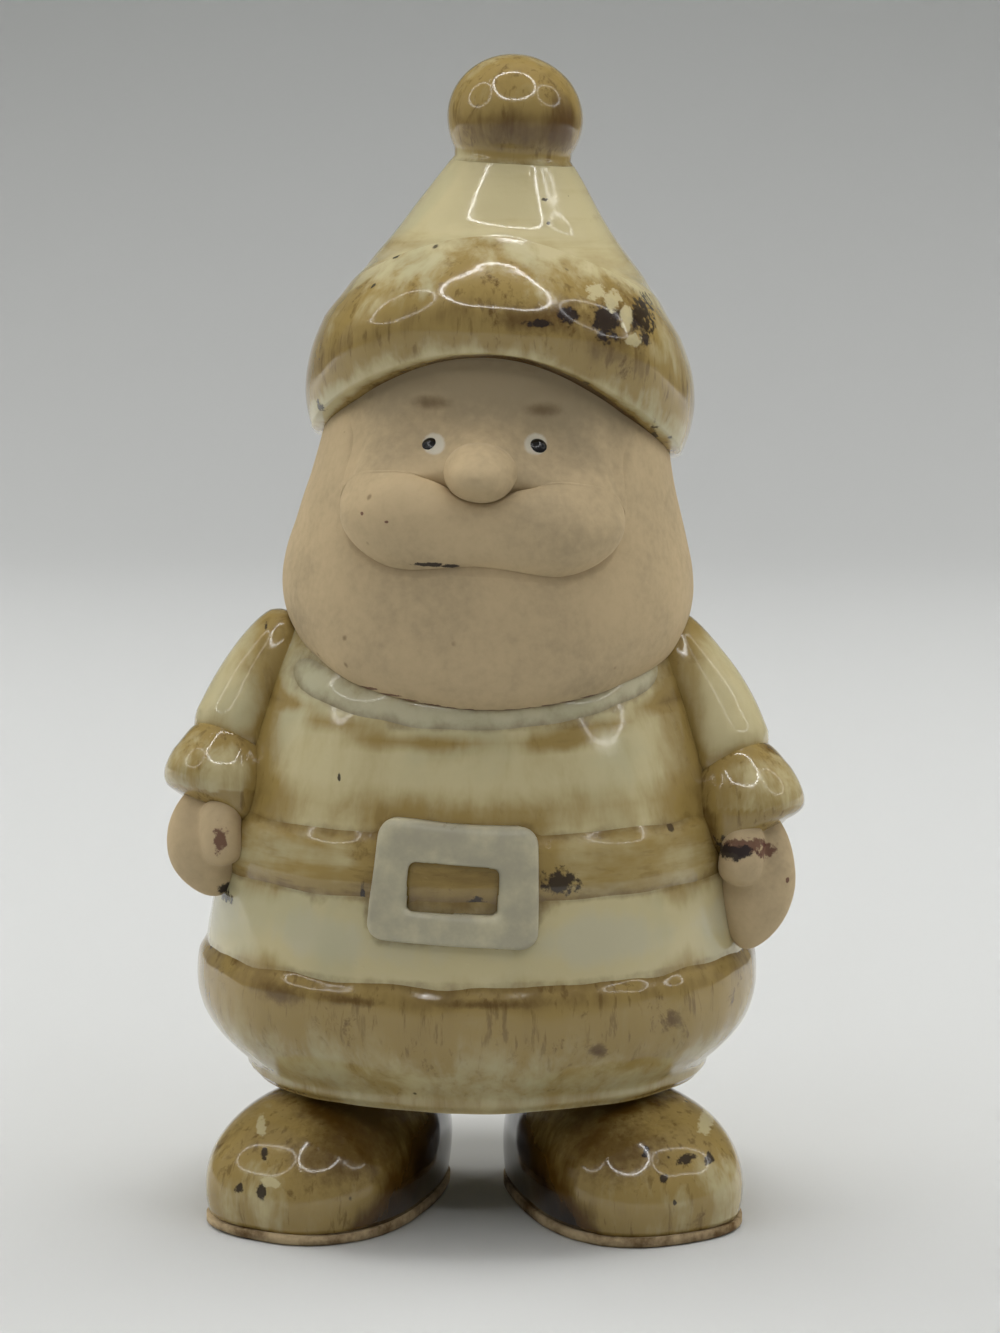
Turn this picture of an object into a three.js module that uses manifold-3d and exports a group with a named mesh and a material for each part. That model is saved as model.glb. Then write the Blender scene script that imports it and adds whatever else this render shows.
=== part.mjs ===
// A ceramic santa figurine, built as a potter builds it: hollow cast shells, wrapped bands and
// solid limbs, each formed by itself and luted to its neighbours with a thin layer of slip.
// Millimetres, +Z up. The figure faces -Y and stands on z = 0, so its own left side is +X.
import * as THREE from "three";
import { mergeVertices } from "three/addons/utils/BufferGeometryUtils.js";
import Module from "manifold-3d";

const wasm = await Module();
wasm.setup();

// Clay
const LUTE = 0.3; // slip layer between two pieces
const WALL = 2.4; // wall of the hollow cast pieces
const BAND_SEAT = 0.7; // how deep a wrapped band is let into its body
const VENT_RADIUS = 2.5; // casting vent in the coat's floor

// Boots and legs
const SOLE_THICKNESS = 0.9;
const SOLE_MARGIN = 0.2; // how far the sole stands proud of the boot's foot
const BOOT_LENGTH = 26;
const BOOT_WIDTH = 14.9;
const BOOT_HEIGHT = 9.8;
const BOOT_TOE_FLARE = 0.3; // how much wider the toe is than the middle
const BOOT_SQUARENESS = 2.5; // 2 is an ellipse in plan
const BOOT_FOOT_TUCK = 0.05; // how much the boot draws in where it meets the sole
const BOOT_INSTEP_SHIFT = 2; // how far back the top of the boot lies
const BOOT_SPREAD = 10.5; // from the middle of the figure to the middle of a boot
const BOOT_FORWARD = 5.6;
const BOOT_SPLAY = 28; // degrees
const LEG_RADIUS = 4.4;
const LEG_SPREAD = 8.2;
const LEG_FORWARD = 1.8;
const LEG_SHOW = 0.3; // clear height between boot and coat
const LEG_IN_BOOT = 4;
const LEG_IN_COAT = 1.3;

// Coat
const COAT_DEPTH = 0.93; // front to back size over width
const COAT_RIM_RADIUS = 18;
const COAT_HIP_HEIGHT = 5.6; // heights on the coat are above its floor
const COAT_HIP_RADIUS = 21.5;
const COAT_WAIST_HEIGHT = 19.3;
const COAT_WAIST_RADIUS = 19.7;
const COAT_SHOULDER_HEIGHT = 32.8;
const COAT_SHOULDER_RADIUS = 14.8;
const COAT_NECK_HEIGHT = 37.8;
const COAT_NECK_RADIUS = 10.8;
const HEM_DROP = 1.2; // how far the fur hem hangs below the coat's floor
const HEM_HEIGHT = 10.9;
const HEM_RELIEF = 0.9;
const BELT_HEIGHT = 5.6;
const BELT_MIDDLE = 18;
const BELT_RELIEF = 0.5;
const BUCKLE_WIDTH = 12;
const BUCKLE_HEIGHT = 9;
const BUCKLE_SIDE_BAR = 2.8;
const BUCKLE_TOP_BAR = 3.1;
const BUCKLE_BOTTOM_BAR = 2.4;
const BUCKLE_CORNER = 1.3;
const BUCKLE_RELIEF = 1.5; // height of the buckle's face over the coat
const BUCKLE_BEVEL = 0.45;
const BUCKLE_OFFSET = -1.2;
const BUCKLE_DROP = 1.1; // how far its middle lies below the belt's
const BUCKLE_TILT = -3; // degrees
const COLLAR_HEIGHT = 2.6;
const COLLAR_SHOW = 1.6; // how much of the collar shows below the beard
const COLLAR_RELIEF = 0.55;

// Arms. Each middle line lies this far outside the coat's side at its height
const SHOULDER_CLEAR = -3;
const ELBOW_CLEAR = -0.3;
const WRIST_CLEAR = 1.4;
const SHOULDER_HEIGHT = 33.4;
const SHOULDER_SLEEVE_RADIUS = 5.1;
const ELBOW_FORWARD = 1.4;
const ELBOW_HEIGHT = 28.6;
const ELBOW_SLEEVE_RADIUS = 4.7;
const WRIST_FORWARD = 4.6;
const WRIST_HEIGHT = 22.2;
const WRIST_SLEEVE_RADIUS = 4.1;
const CUFF_RADIUS = 4.65;
const CUFF_LENGTH = 5.2;
const HAND_RADIUS = 3.1;
const HAND_THICKNESS = 0.84; // depth of the hand over its width
const HAND_FORWARD = 2.6; // how far the fingertips lie in front of the wrist
const HAND_OUTWARD = 1.1;
const RIGHT_HAND_LENGTH = 8.6; // from the middle of the cuff
const LEFT_HAND_LENGTH = 11.2;
const LEFT_ARM_DROP = 1.4; // how much lower the left wrist hangs
const LEFT_ARM_OUT = 0.6; // how much further out
const RIGHT_ARM_IN = 0.4;
const THUMB_RADIUS = 1.35;
const THUMB_LENGTH = 4.6;
const THUMB_FLARE = 0.6; // how far its tip turns out

// Head, in the frame of the bust, which stands on the coat's neck and leans a little
const BUST_LEAN = 3.3; // degrees, towards the figure's left
const BUST_TURN = 3; // degrees, towards the figure's right
const BUST_SHIFT = 0.9;
const HEAD_JAW_RADIUS = 11.2;
const HEAD_CHEEK_HEIGHT = 7.5;
const HEAD_CHEEK_RADIUS = 12.8;
const HEAD_TOP_HEIGHT = 19.5;
const HEAD_TOP_RADIUS = 12.3;
const SPIGOT_LENGTH = 3;
const BEARD_DEPTH = 1.03;
const BEARD_FRONT = -8.5; // lowest point of the beard, below the neck's plane
const BEARD_NAPE_RISE = 4; // how far its lower edge climbs from the front to the nape
const BEARD_SIDE_RISE = 1.6; // and, besides, to the sides
const BEARD_JAW_RADIUS = 16.6;
const BEARD_CHEEK_RADIUS = 15.3;
const BEARD_CHEEK_HEIGHT = 4;
const BEARD_TEMPLE_RADIUS = 13.4;
const BEARD_TEMPLE_HEIGHT = 11;
const BEARD_TOP_FRONT = 4.6; // upper edge of the beard below the moustache
const BEARD_TOP_SIDE = 13; // upper edge of the hair under the hat
const BEARD_ROUND = 2.6; // how far the beard's lower edge is rounded off
const FACE_HALF_ANGLE = 47; // degrees from the front to where the hair begins
const FACE_EDGE_ANGLE = 9; // degrees over which it rises
const MOUSTACHE_HALF_WIDTH = 10.9;
const MOUSTACHE_HEIGHT = 4.9;
const MOUSTACHE_TIP_RISE = 1.5;
const MOUSTACHE_RADIUS = 3.5;
const MOUSTACHE_WAIST = 0.76; // its height at the middle over its height at the lobes
const MOUSTACHE_FLATNESS = 0.86; // its depth over its height
const MOUSTACHE_PROUD = 0.6; // how far its middle line lies inside the beard's face
const NOSE_HALF_WIDTH = 2.8;
const NOSE_HALF_HEIGHT = 2.4;
const NOSE_HALF_DEPTH = 3;
const NOSE_HEIGHT = 9.4;
const EYE_SPREAD = 4;
const EYE_HEIGHT = 11.6;
const EYE_RADIUS = 0.8;

// Hat, in the same frame
const BRIM_FRONT = 17.9; // lower edge at the front
const BRIM_NAPE_DROP = 7.6; // how far the lower edge drops from the front to the nape
const BRIM_SIDE_DROP = 4; // and, besides, to the sides
const BRIM_TOP_FRONT = 26.6;
const BRIM_TOP_NAPE_DROP = 5.8;
const BRIM_TOP_SIDE_DROP = 1.8;
const BRIM_EDGE = 0.25; // how far its edges stand off the slip layer
const BRIM_SWELL = 2.1;
const CROWN_SHOULDER_HEIGHT = 23.2;
const CROWN_SHOULDER_RADIUS = 11.2;
const CROWN_MIDDLE_HEIGHT = 27.6;
const CROWN_MIDDLE_RADIUS = 8;
const CROWN_TIP_HEIGHT = 32.3;
const CROWN_TIP_RADIUS = 4.8;
const CROWN_TIP_SOLID = 4.2; // solid clay below the pompom
const POMPOM_RADIUS = 5.25;
const POMPOM_HEIGHT = 8.5;
const POMPOM_SEAT_RADIUS = 4.3;
const TENON_RADIUS = 1.4;
const TENON_LENGTH = 2.8;

// Mesh steps
const SIDES = 30;
const SMALL_SIDES = 16;
const PROFILE_STEPS = 9;
const BAND_STEPS = 5;
const LIMB_STEPS = 8;
const INSIDE_STEPS = 4;
const BUCKLE_STEPS = 32;

// Heights that follow from the sizes above
const BOOT_BASE = SOLE_THICKNESS + LUTE;
const FLOOR = BOOT_BASE + BOOT_HEIGHT + LEG_SHOW;
const NECK = FLOOR + COAT_NECK_HEIGHT;

const cream = glaze("cream_glaze", 0xcbbf96);
const ochre = glaze("ochre_glaze", 0x8c7440);
const pale = glaze("pale_glaze", 0xb8b294);
const bisque = clay("bisque", 0xb39e7c);
const raw = clay("bare_clay", 0x9c8a6e);
const whitewash = clay("buckle_paint", 0xaaa696);
const enamel = glaze("black_enamel", 0x0c0a08);

function glaze(name, color) {
  return new THREE.MeshStandardMaterial({ name, color, roughness: 0.15, metalness: 0 });
}

function clay(name, color) {
  return new THREE.MeshStandardMaterial({ name, color, roughness: 0.85, metalness: 0 });
}

function radians(degrees) {
  return THREE.MathUtils.degToRad(degrees);
}

// The points of a smooth outline through a few [height, radius] pairs, lowest first.
function outline(pairs, steps = PROFILE_STEPS) {
  return new THREE.SplineCurve(pairs.map(([z, r]) => new THREE.Vector2(r, z))).getPoints(steps);
}

// The radius of an outline at a height, held at its ends.
function radiusAt(points, z) {
  if (z <= points[0].y) return points[0].x;
  const above = points.findIndex((point) => point.y >= z);
  if (above < 0) return points.at(-1).x;
  const [low, high] = [points[above - 1], points[above]];
  return THREE.MathUtils.mapLinear(z, low.y, high.y, low.x, high.x);
}

// An outline moved outwards along its own normals.
function offset(points, by) {
  return points.map((point, i) => {
    const before = points[Math.max(i - 1, 0)];
    const after = points[Math.min(i + 1, points.length - 1)];
    const along = after.clone().sub(before).normalize();
    const end = (i === points.length - 1 ? 1 : 0) - (i === 0 ? 1 : 0);
    const z = point.y + (end ? end * by : -along.x * by);
    return new THREE.Vector2(Math.max(point.x + along.y * by, 0), z);
  });
}

// A solid turned about the vertical axis, with flat ends where its outline leaves the axis.
function turned(points, sides = SIDES) {
  const closed = [...points];
  if (points[0].x > 0) closed.unshift(new THREE.Vector2(0, points[0].y));
  if (points.at(-1).x > 0) closed.push(new THREE.Vector2(0, points.at(-1).y));
  return new THREE.LatheGeometry(closed, sides).rotateX(Math.PI / 2);
}

// A geometry with each vertex moved by a function of its place.
function reshaped(geometry, move) {
  const place = geometry.getAttribute("position");
  const point = new THREE.Vector3();
  for (let i = 0; i < place.count; i++) {
    point.fromBufferAttribute(place, i);
    move(point);
    place.setXYZ(i, point.x, point.y, point.z);
  }
  return geometry;
}

// A band wrapped round a body. Its edges follow lower and upper, heights for each angle from the
// front, and its face stands out from the body by relief(t), t going from its lower edge to its upper.
function wrapped({ base, lower, upper, relief, seat = BAND_SEAT, depth = 1 }, grow) {
  const face = 2;
  const back = 1;
  const steps = Array.from({ length: BAND_STEPS + 1 }, (_, i) => (1 - Math.cos((Math.PI * i) / BAND_STEPS)) / 2);
  const section = steps.map((t) => new THREE.Vector2(face, t));
  section.push(new THREE.Vector2(back, 1), new THREE.Vector2(back, 0.5));
  section.push(new THREE.Vector2(back, 0), section[0].clone());
  return reshaped(new THREE.LatheGeometry(section, SIDES).rotateX(Math.PI / 2), (point) => {
    const angle = Math.atan2(point.x, -point.y);
    const t = THREE.MathUtils.clamp(point.z, 0, 1);
    const onFace = Math.hypot(point.x, point.y) > (face + back) / 2;
    const z = THREE.MathUtils.lerp(lower(angle) - grow, upper(angle) + grow, t);
    const radius = base(z, angle) + (onFace ? relief(t, angle) + grow : -seat - grow);
    point.set(radius * Math.sin(angle), -radius * Math.cos(angle) * depth, z);
  });
}

// How far an edge has moved from its height at the front, at an angle from the front.
function sweep(toNape, toSide, angle) {
  return (toNape * (1 - Math.cos(angle)) + toSide * (1 - Math.cos(2 * angle))) / 2;
}

// A limb whose [share of length, radius] pairs are carried along a curve, with rounded ends.
// Its section is flattened by flatness in the direction across.
function limb(stations, radii, grow, { sides = SMALL_SIDES, flatness = 1, across = new THREE.Vector3(0, 1, 0) } = {}) {
  const curve = new THREE.CatmullRomCurve3(stations.map(([x, y, z]) => new THREE.Vector3(x, y, z)));
  const length = curve.getLength();
  const thickness = outline(radii, LIMB_STEPS);
  const points = [];
  for (let i = 0; i <= LIMB_STEPS; i++) {
    const turn = (Math.PI * i) / LIMB_STEPS;
    const share = (1 - Math.cos(turn)) / 2;
    const round = Math.sqrt(Math.max(1 - Math.abs(2 * share - 1) ** 6, 0));
    points.push(new THREE.Vector2(radiusAt(thickness, share) * round, share * length));
  }
  return reshaped(turned(offset(points, grow), sides), (point) => {
    const share = THREE.MathUtils.clamp(point.z / length, 0, 1);
    const along = curve.getTangentAt(share);
    const side = across.clone().addScaledVector(along, -across.dot(along)).normalize();
    const other = new THREE.Vector3().crossVectors(along, side);
    const beyond = point.z - share * length;
    const [u, v] = [point.x, -point.y];
    point.copy(curve.getPointAt(share)).addScaledVector(along, beyond);
    point.addScaledVector(other, u).addScaledVector(side, v * flatness);
  });
}

// A geometry as a solid, after a move.
function solidOf(geometry, matrix = new THREE.Matrix4()) {
  const bare = geometry.index ? geometry.toNonIndexed() : geometry.clone();
  const skin = new THREE.BufferGeometry().setAttribute("position", bare.getAttribute("position"));
  const merged = mergeVertices(skin.applyMatrix4(matrix), 1e-4);
  const mesh = { numProp: 3, vertProperties: merged.attributes.position.array };
  return new wasm.Manifold(new wasm.Mesh({ ...mesh, triVerts: new Uint32Array(merged.index.array) }));
}

// The geometry of a solid's largest body, so that no crumb of clay is left beside a cut.
function geometryOf(solid) {
  const [body] = solid.decompose().sort((a, b) => b.volume() - a.volume());
  const mesh = body.getMesh();
  const place = new Float32Array(mesh.numVert * 3);
  for (let i = 0; i < mesh.numVert; i++) {
    place.set(mesh.vertProperties.subarray(i * mesh.numProp, i * mesh.numProp + 3), i * 3);
  }
  const geometry = new THREE.BufferGeometry().setAttribute("position", new THREE.BufferAttribute(place, 3));
  geometry.setIndex(new THREE.BufferAttribute(mesh.triVerts, 1));
  geometry.computeVertexNormals();
  return geometry;
}

const figure = new THREE.Group();
const bust = new THREE.Group();
bust.position.set(BUST_SHIFT, 0, NECK);
bust.rotation.set(0, radians(BUST_LEAN), -radians(BUST_TURN));
figure.add(bust);

// One clay piece. Its form is kept, so that a neighbour can be cut back from it.
function piece(parent, name, material, form) {
  const mesh = new THREE.Mesh(form(0), material);
  mesh.name = name;
  mesh.userData.form = form;
  parent.add(mesh);
  figure.updateMatrixWorld(true);
  return mesh;
}

// Moves a piece to its place.
function placed(mesh, x, y, z, turn = 0) {
  mesh.position.set(x, y, z);
  mesh.rotation.z = turn;
  figure.updateMatrixWorld(true);
  return mesh;
}

// Cuts a piece back to a layer of slip clear of the pieces that carry it.
function seat(mesh, ...carriers) {
  const local = mesh.matrixWorld.clone().invert();
  const cut = carriers.reduce((solid, carrier) => {
    const toMesh = local.clone().multiply(carrier.matrixWorld);
    return solid.subtract(solidOf(carrier.userData.form(LUTE), toMesh));
  }, solidOf(mesh.geometry));
  mesh.geometry = geometryOf(cut);
}

// Takes a hollow out of a piece, both in the piece's own frame.
function hollow(mesh, ...hollows) {
  const cut = hollows.reduce((solid, geometry) => solid.subtract(solidOf(geometry)), solidOf(mesh.geometry));
  mesh.geometry = geometryOf(cut);
}

// A plain round bar of a piece, from one height to another.
function bar(radius, low, high, sides = SMALL_SIDES) {
  return turned([new THREE.Vector2(radius, low), new THREE.Vector2(radius, high)], sides);
}

// Coat

const coatOutline = outline([
  [FLOOR, COAT_RIM_RADIUS],
  [FLOOR + COAT_HIP_HEIGHT, COAT_HIP_RADIUS],
  [FLOOR + COAT_WAIST_HEIGHT, COAT_WAIST_RADIUS],
  [FLOOR + COAT_SHOULDER_HEIGHT, COAT_SHOULDER_RADIUS],
  [NECK, COAT_NECK_RADIUS],
]);
const coatRadius = (z) => radiusAt(coatOutline, z);

function makeCoat() {
  const form = (grow) => turned(offset(coatOutline, grow)).scale(1, COAT_DEPTH, 1);
  const coat = piece(figure, "coat_body", cream, form);
  const inside = offset(coatOutline, -WALL).filter((point) => point.y > FLOOR + WALL);
  inside.unshift(new THREE.Vector2(coatRadius(FLOOR + WALL) - WALL, FLOOR + WALL));
  inside.push(new THREE.Vector2(COAT_NECK_RADIUS - WALL, NECK + WALL));
  const vent = bar(VENT_RADIUS, FLOOR - WALL, FLOOR + 2 * WALL);
  hollow(coat, turned(inside, SMALL_SIDES).scale(1, COAT_DEPTH, 1), vent);
  return coat;
}

// The height of a flat-faced band's relief, rounded off at its edges.
function flatRelief(relief) {
  return (t) => relief * (1 - Math.abs(2 * t - 1) ** 8);
}

function makeHem() {
  const low = FLOOR - HEM_DROP;
  const relief = (t) => HEM_RELIEF * Math.sin(Math.PI * (0.1 + 0.8 * t)) ** 0.5;
  const form = (grow) =>
    wrapped({ base: coatRadius, lower: () => low, upper: () => low + HEM_HEIGHT, relief, depth: COAT_DEPTH }, grow);
  return piece(figure, "coat_hem", ochre, form);
}

function makeBelt() {
  const low = FLOOR + BELT_MIDDLE - BELT_HEIGHT / 2;
  const relief = flatRelief(BELT_RELIEF);
  const form = (grow) =>
    wrapped({ base: coatRadius, lower: () => low, upper: () => low + BELT_HEIGHT, relief, depth: COAT_DEPTH }, grow);
  return piece(figure, "belt", ochre, form);
}

// Points round a rectangle with round corners, one for each step round the buckle.
function roundRectangle(low, high, corner) {
  const path = new THREE.Path();
  path.moveTo(high.x, low.y + corner);
  path.absarc(high.x - corner, high.y - corner, corner, 0, Math.PI / 2);
  path.absarc(low.x + corner, high.y - corner, corner, Math.PI / 2, Math.PI);
  path.absarc(low.x + corner, low.y + corner, corner, Math.PI, 1.5 * Math.PI);
  path.absarc(high.x - corner, low.y + corner, corner, 1.5 * Math.PI, 2 * Math.PI);
  return path.getSpacedPoints(BUCKLE_STEPS);
}

function makeBuckle() {
  const low = new THREE.Vector2(-BUCKLE_WIDTH / 2, -BUCKLE_HEIGHT / 2);
  const high = low.clone().negate();
  const windowLow = low.clone().add(new THREE.Vector2(BUCKLE_SIDE_BAR, BUCKLE_BOTTOM_BAR));
  const windowHigh = high.clone().sub(new THREE.Vector2(BUCKLE_SIDE_BAR, BUCKLE_TOP_BAR));
  const round = BUCKLE_BEVEL / BUCKLE_SIDE_BAR;
  const face = BUCKLE_RELIEF - BUCKLE_BEVEL;
  const form = (grow) => {
    const outer = roundRectangle(low.clone().subScalar(grow), high.clone().addScalar(grow), BUCKLE_CORNER);
    const inner = roundRectangle(windowLow.clone().addScalar(grow), windowHigh.clone().subScalar(grow), BUCKLE_BEVEL);
    const [inside, outside] = [1, 2];
    const section = [
      new THREE.Vector2(inside, -grow),
      new THREE.Vector2(outside, -grow),
      new THREE.Vector2(outside, face + grow),
      new THREE.Vector2(outside - round, BUCKLE_RELIEF + grow),
      new THREE.Vector2(inside + round, BUCKLE_RELIEF + grow),
      new THREE.Vector2(inside, face + grow),
      new THREE.Vector2(inside, -grow),
    ];
    const ring = new THREE.LatheGeometry(section, BUCKLE_STEPS).rotateX(Math.PI / 2);
    return reshaped(ring, (point) => {
      const turn = (Math.atan2(point.x, -point.y) + 2 * Math.PI) % (2 * Math.PI);
      const step = Math.round((turn / (2 * Math.PI)) * BUCKLE_STEPS) % BUCKLE_STEPS;
      const across = Math.hypot(point.x, point.y) - inside;
      const flat = inner[step].clone().lerp(outer[step], across);
      flat.rotateAround(new THREE.Vector2(), radians(BUCKLE_TILT));
      const z = FLOOR + BELT_MIDDLE - BUCKLE_DROP + flat.y;
      const angle = (flat.x + BUCKLE_OFFSET) / COAT_WAIST_RADIUS;
      const radius = coatRadius(z) + point.z;
      point.set(radius * Math.sin(angle), -radius * Math.cos(angle) * COAT_DEPTH, z);
    });
  };
  return piece(figure, "belt_buckle", whitewash, form);
}

// The beard's lower edge, above the neck's plane.
const beardEdge = (angle) => BEARD_FRONT + sweep(BEARD_NAPE_RISE, BEARD_SIDE_RISE, angle);

function makeCollar() {
  const lower = (angle) => NECK + beardEdge(angle) - COLLAR_SHOW;
  const upper = (angle) => lower(angle) + COLLAR_HEIGHT;
  const relief = (t) => COLLAR_RELIEF * Math.sin(Math.PI * t) ** 0.5;
  const form = (grow) => wrapped({ base: coatRadius, lower, upper, relief, depth: COAT_DEPTH }, grow);
  return piece(figure, "collar", pale, form);
}

// Boots and legs

// Bends a round solid of radius 1 to the plan of a boot.
function bootPlan(geometry, grow) {
  return reshaped(geometry, (point) => {
    const rise = THREE.MathUtils.clamp(point.z / BOOT_HEIGHT, 0, 1);
    const plan = Math.hypot(point.x, point.y);
    const n = BOOT_SQUARENESS;
    const fuller = plan > 0 ? plan / (Math.abs(point.x) ** n + Math.abs(point.y) ** n) ** (1 / n) : 1;
    const flare = 1 - BOOT_TOE_FLARE * point.y;
    point.x *= (BOOT_WIDTH / 2 + grow) * flare * fuller;
    point.y = point.y * (BOOT_LENGTH / 2 + grow) * fuller + BOOT_INSTEP_SHIFT * rise ** 2;
  });
}

function makeBoot(name, side) {
  const form = (grow) => {
    const points = [];
    for (let i = 0; i <= LIMB_STEPS; i++) {
      const rise = Math.sin((Math.PI * i) / (2 * LIMB_STEPS));
      const tuck = 1 - BOOT_FOOT_TUCK * (1 - rise) ** 4;
      points.push(new THREE.Vector2(Math.sqrt(Math.max(1 - rise ** 3, 0)) * tuck, rise * BOOT_HEIGHT));
    }
    const grown = points.map(({ x, y }, i) => new THREE.Vector2(x, i ? y + grow : y - grow));
    return bootPlan(turned(grown, SMALL_SIDES + 8), grow);
  };
  const boot = piece(figure, name + "_boot", ochre, form);
  return placed(boot, side * BOOT_SPREAD, -BOOT_FORWARD, BOOT_BASE, side * radians(BOOT_SPLAY));
}

function makeSole(name, side) {
  const form = (grow) => bootPlan(bar(1 - BOOT_FOOT_TUCK, -grow, SOLE_THICKNESS + grow, SMALL_SIDES + 8), SOLE_MARGIN + grow);
  const sole = piece(figure, name + "_sole", raw, form);
  return placed(sole, side * BOOT_SPREAD, -BOOT_FORWARD, 0, side * radians(BOOT_SPLAY));
}

function makeLeg(name, side) {
  const low = FLOOR - LEG_SHOW - LEG_IN_BOOT;
  const form = (grow) => bar(LEG_RADIUS + grow, low - grow, FLOOR + LEG_IN_COAT + grow);
  return placed(piece(figure, name + "_leg", cream, form), side * LEG_SPREAD, -LEG_FORWARD, 0);
}

// Arms

const arms = [
  { name: "right", side: -1, drop: 0, out: -RIGHT_ARM_IN, handLength: RIGHT_HAND_LENGTH },
  { name: "left", side: 1, drop: LEFT_ARM_DROP, out: LEFT_ARM_OUT, handLength: LEFT_HAND_LENGTH },
];

// The points an arm passes through. They follow the coat's side.
function armStations({ side, drop, out }) {
  const shoulder = coatRadius(FLOOR + SHOULDER_HEIGHT) + SHOULDER_CLEAR;
  const elbow = coatRadius(FLOOR + ELBOW_HEIGHT) + ELBOW_CLEAR + out / 2;
  const wrist = coatRadius(FLOOR + WRIST_HEIGHT) + WRIST_CLEAR + out;
  return [
    [side * shoulder, 0, FLOOR + SHOULDER_HEIGHT],
    [side * elbow, -ELBOW_FORWARD, FLOOR + ELBOW_HEIGHT - drop / 2],
    [side * wrist, -WRIST_FORWARD, FLOOR + WRIST_HEIGHT - drop],
  ];
}

function makeSleeve(arm) {
  const radii = [
    [0, SHOULDER_SLEEVE_RADIUS],
    [0.5, ELBOW_SLEEVE_RADIUS],
    [1, WRIST_SLEEVE_RADIUS],
  ];
  return piece(figure, arm.name + "_sleeve", cream, (grow) => limb(armStations(arm), radii, grow));
}

function makeCuff(arm) {
  const [, elbow, wrist] = armStations(arm);
  const half = CUFF_LENGTH / 2;
  const down = elbow[2] - wrist[2];
  const lean = Math.atan2(wrist[0] - elbow[0], down) / 2;
  const forward = Math.atan2(elbow[1] - wrist[1], down) / 2;
  const edge = 0.82; // radius of the cuff's rims over its own
  const form = (grow) => {
    const points = [];
    for (let i = 0; i <= LIMB_STEPS / 2; i++) {
      const turn = (Math.PI * i) / (LIMB_STEPS / 2);
      const radius = CUFF_RADIUS * (edge + (1 - edge) * Math.max(Math.sin(turn), 0) ** 0.6);
      points.push(new THREE.Vector2(radius, -half * Math.cos(turn)));
    }
    return turned(offset(points, grow), SMALL_SIDES);
  };
  const cuff = piece(figure, arm.name + "_cuff", ochre, form);
  cuff.rotation.set(-forward, -lean, 0);
  return placed(cuff, ...wrist);
}

function makeHand(arm) {
  const { side, handLength } = arm;
  const [x, y, z] = armStations(arm)[2];
  const stations = [
    [x, y, z],
    [x + side * HAND_OUTWARD, y - HAND_FORWARD / 2, z - handLength / 2],
    [x, y - HAND_FORWARD, z - handLength],
  ];
  const radii = [
    [0, HAND_RADIUS * 0.85],
    [0.55, HAND_RADIUS],
    [1, HAND_RADIUS * 0.7],
  ];
  const thumbX = x + side * (HAND_OUTWARD - HAND_RADIUS + THUMB_RADIUS / 2);
  const thumbY = y - HAND_FORWARD;
  const thumbZ = z - CUFF_LENGTH / 2;
  const thumbStations = [
    [thumbX, thumbY, thumbZ],
    [thumbX, thumbY - THUMB_RADIUS / 2, thumbZ - THUMB_LENGTH / 2],
    [thumbX + side * THUMB_FLARE, thumbY - THUMB_RADIUS / 2, thumbZ - THUMB_LENGTH],
  ];
  const thumbRadii = [
    [0, THUMB_RADIUS],
    [1, THUMB_RADIUS],
  ];
  const form = (grow) => {
    const palm = solidOf(limb(stations, radii, grow, { flatness: HAND_THICKNESS }));
    const thumb = solidOf(limb(thumbStations, thumbRadii, grow, { sides: SMALL_SIDES / 2 }));
    return geometryOf(palm.add(thumb));
  };
  return piece(figure, arm.name + "_hand", bisque, form);
}

// Head

const headOutline = outline([
  [LUTE, HEAD_JAW_RADIUS],
  [HEAD_CHEEK_HEIGHT, HEAD_CHEEK_RADIUS],
  [HEAD_TOP_HEIGHT, HEAD_TOP_RADIUS],
]);

function makeHead() {
  const head = piece(bust, "head", bisque, (grow) => turned(offset(headOutline, grow)));
  seat(head, coat);
  const upright = bust.matrixWorld.clone().invert();
  const spigotRadius = COAT_NECK_RADIUS - WALL - LUTE;
  const spigot = bar(spigotRadius, NECK - SPIGOT_LENGTH, NECK + WALL).scale(1, COAT_DEPTH, 1);
  head.geometry = geometryOf(solidOf(head.geometry).add(solidOf(spigot, upright)));
  const inside = outline([
    [LUTE + WALL, HEAD_JAW_RADIUS - WALL],
    [HEAD_CHEEK_HEIGHT, HEAD_CHEEK_RADIUS - WALL],
    [HEAD_TOP_HEIGHT + WALL, HEAD_TOP_RADIUS - WALL],
  ], INSIDE_STEPS);
  const bore = bar(spigotRadius - WALL, -2 * SPIGOT_LENGTH, HEAD_CHEEK_HEIGHT);
  hollow(head, turned(inside, SMALL_SIDES), bore);
  return head;
}

const beardOutline = outline([
  [BEARD_FRONT, BEARD_JAW_RADIUS],
  [0, BEARD_JAW_RADIUS - 0.5],
  [BEARD_CHEEK_HEIGHT, BEARD_CHEEK_RADIUS],
  [BEARD_TEMPLE_HEIGHT, BEARD_TEMPLE_RADIUS],
]);

function makeBeard() {
  const rise = (angle) => {
    const from = Math.abs(THREE.MathUtils.radToDeg(angle)) - FACE_HALF_ANGLE;
    return THREE.MathUtils.smoothstep(from, -FACE_EDGE_ANGLE, FACE_EDGE_ANGLE);
  };
  const upper = (angle) => THREE.MathUtils.lerp(BEARD_TOP_FRONT, BEARD_TOP_SIDE, rise(angle));
  const lowerRound = 0.3;
  const relief = (t) => {
    const under = Math.max(1 - t / lowerRound, 0);
    return -BEARD_ROUND * (1 - Math.sqrt(1 - under ** 2));
  };
  const form = (grow) =>
    wrapped(
      { base: (z) => radiusAt(beardOutline, z), lower: beardEdge, upper, relief, seat: 5, depth: BEARD_DEPTH },
      grow,
    );
  return piece(bust, "beard", bisque, form);
}

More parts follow.
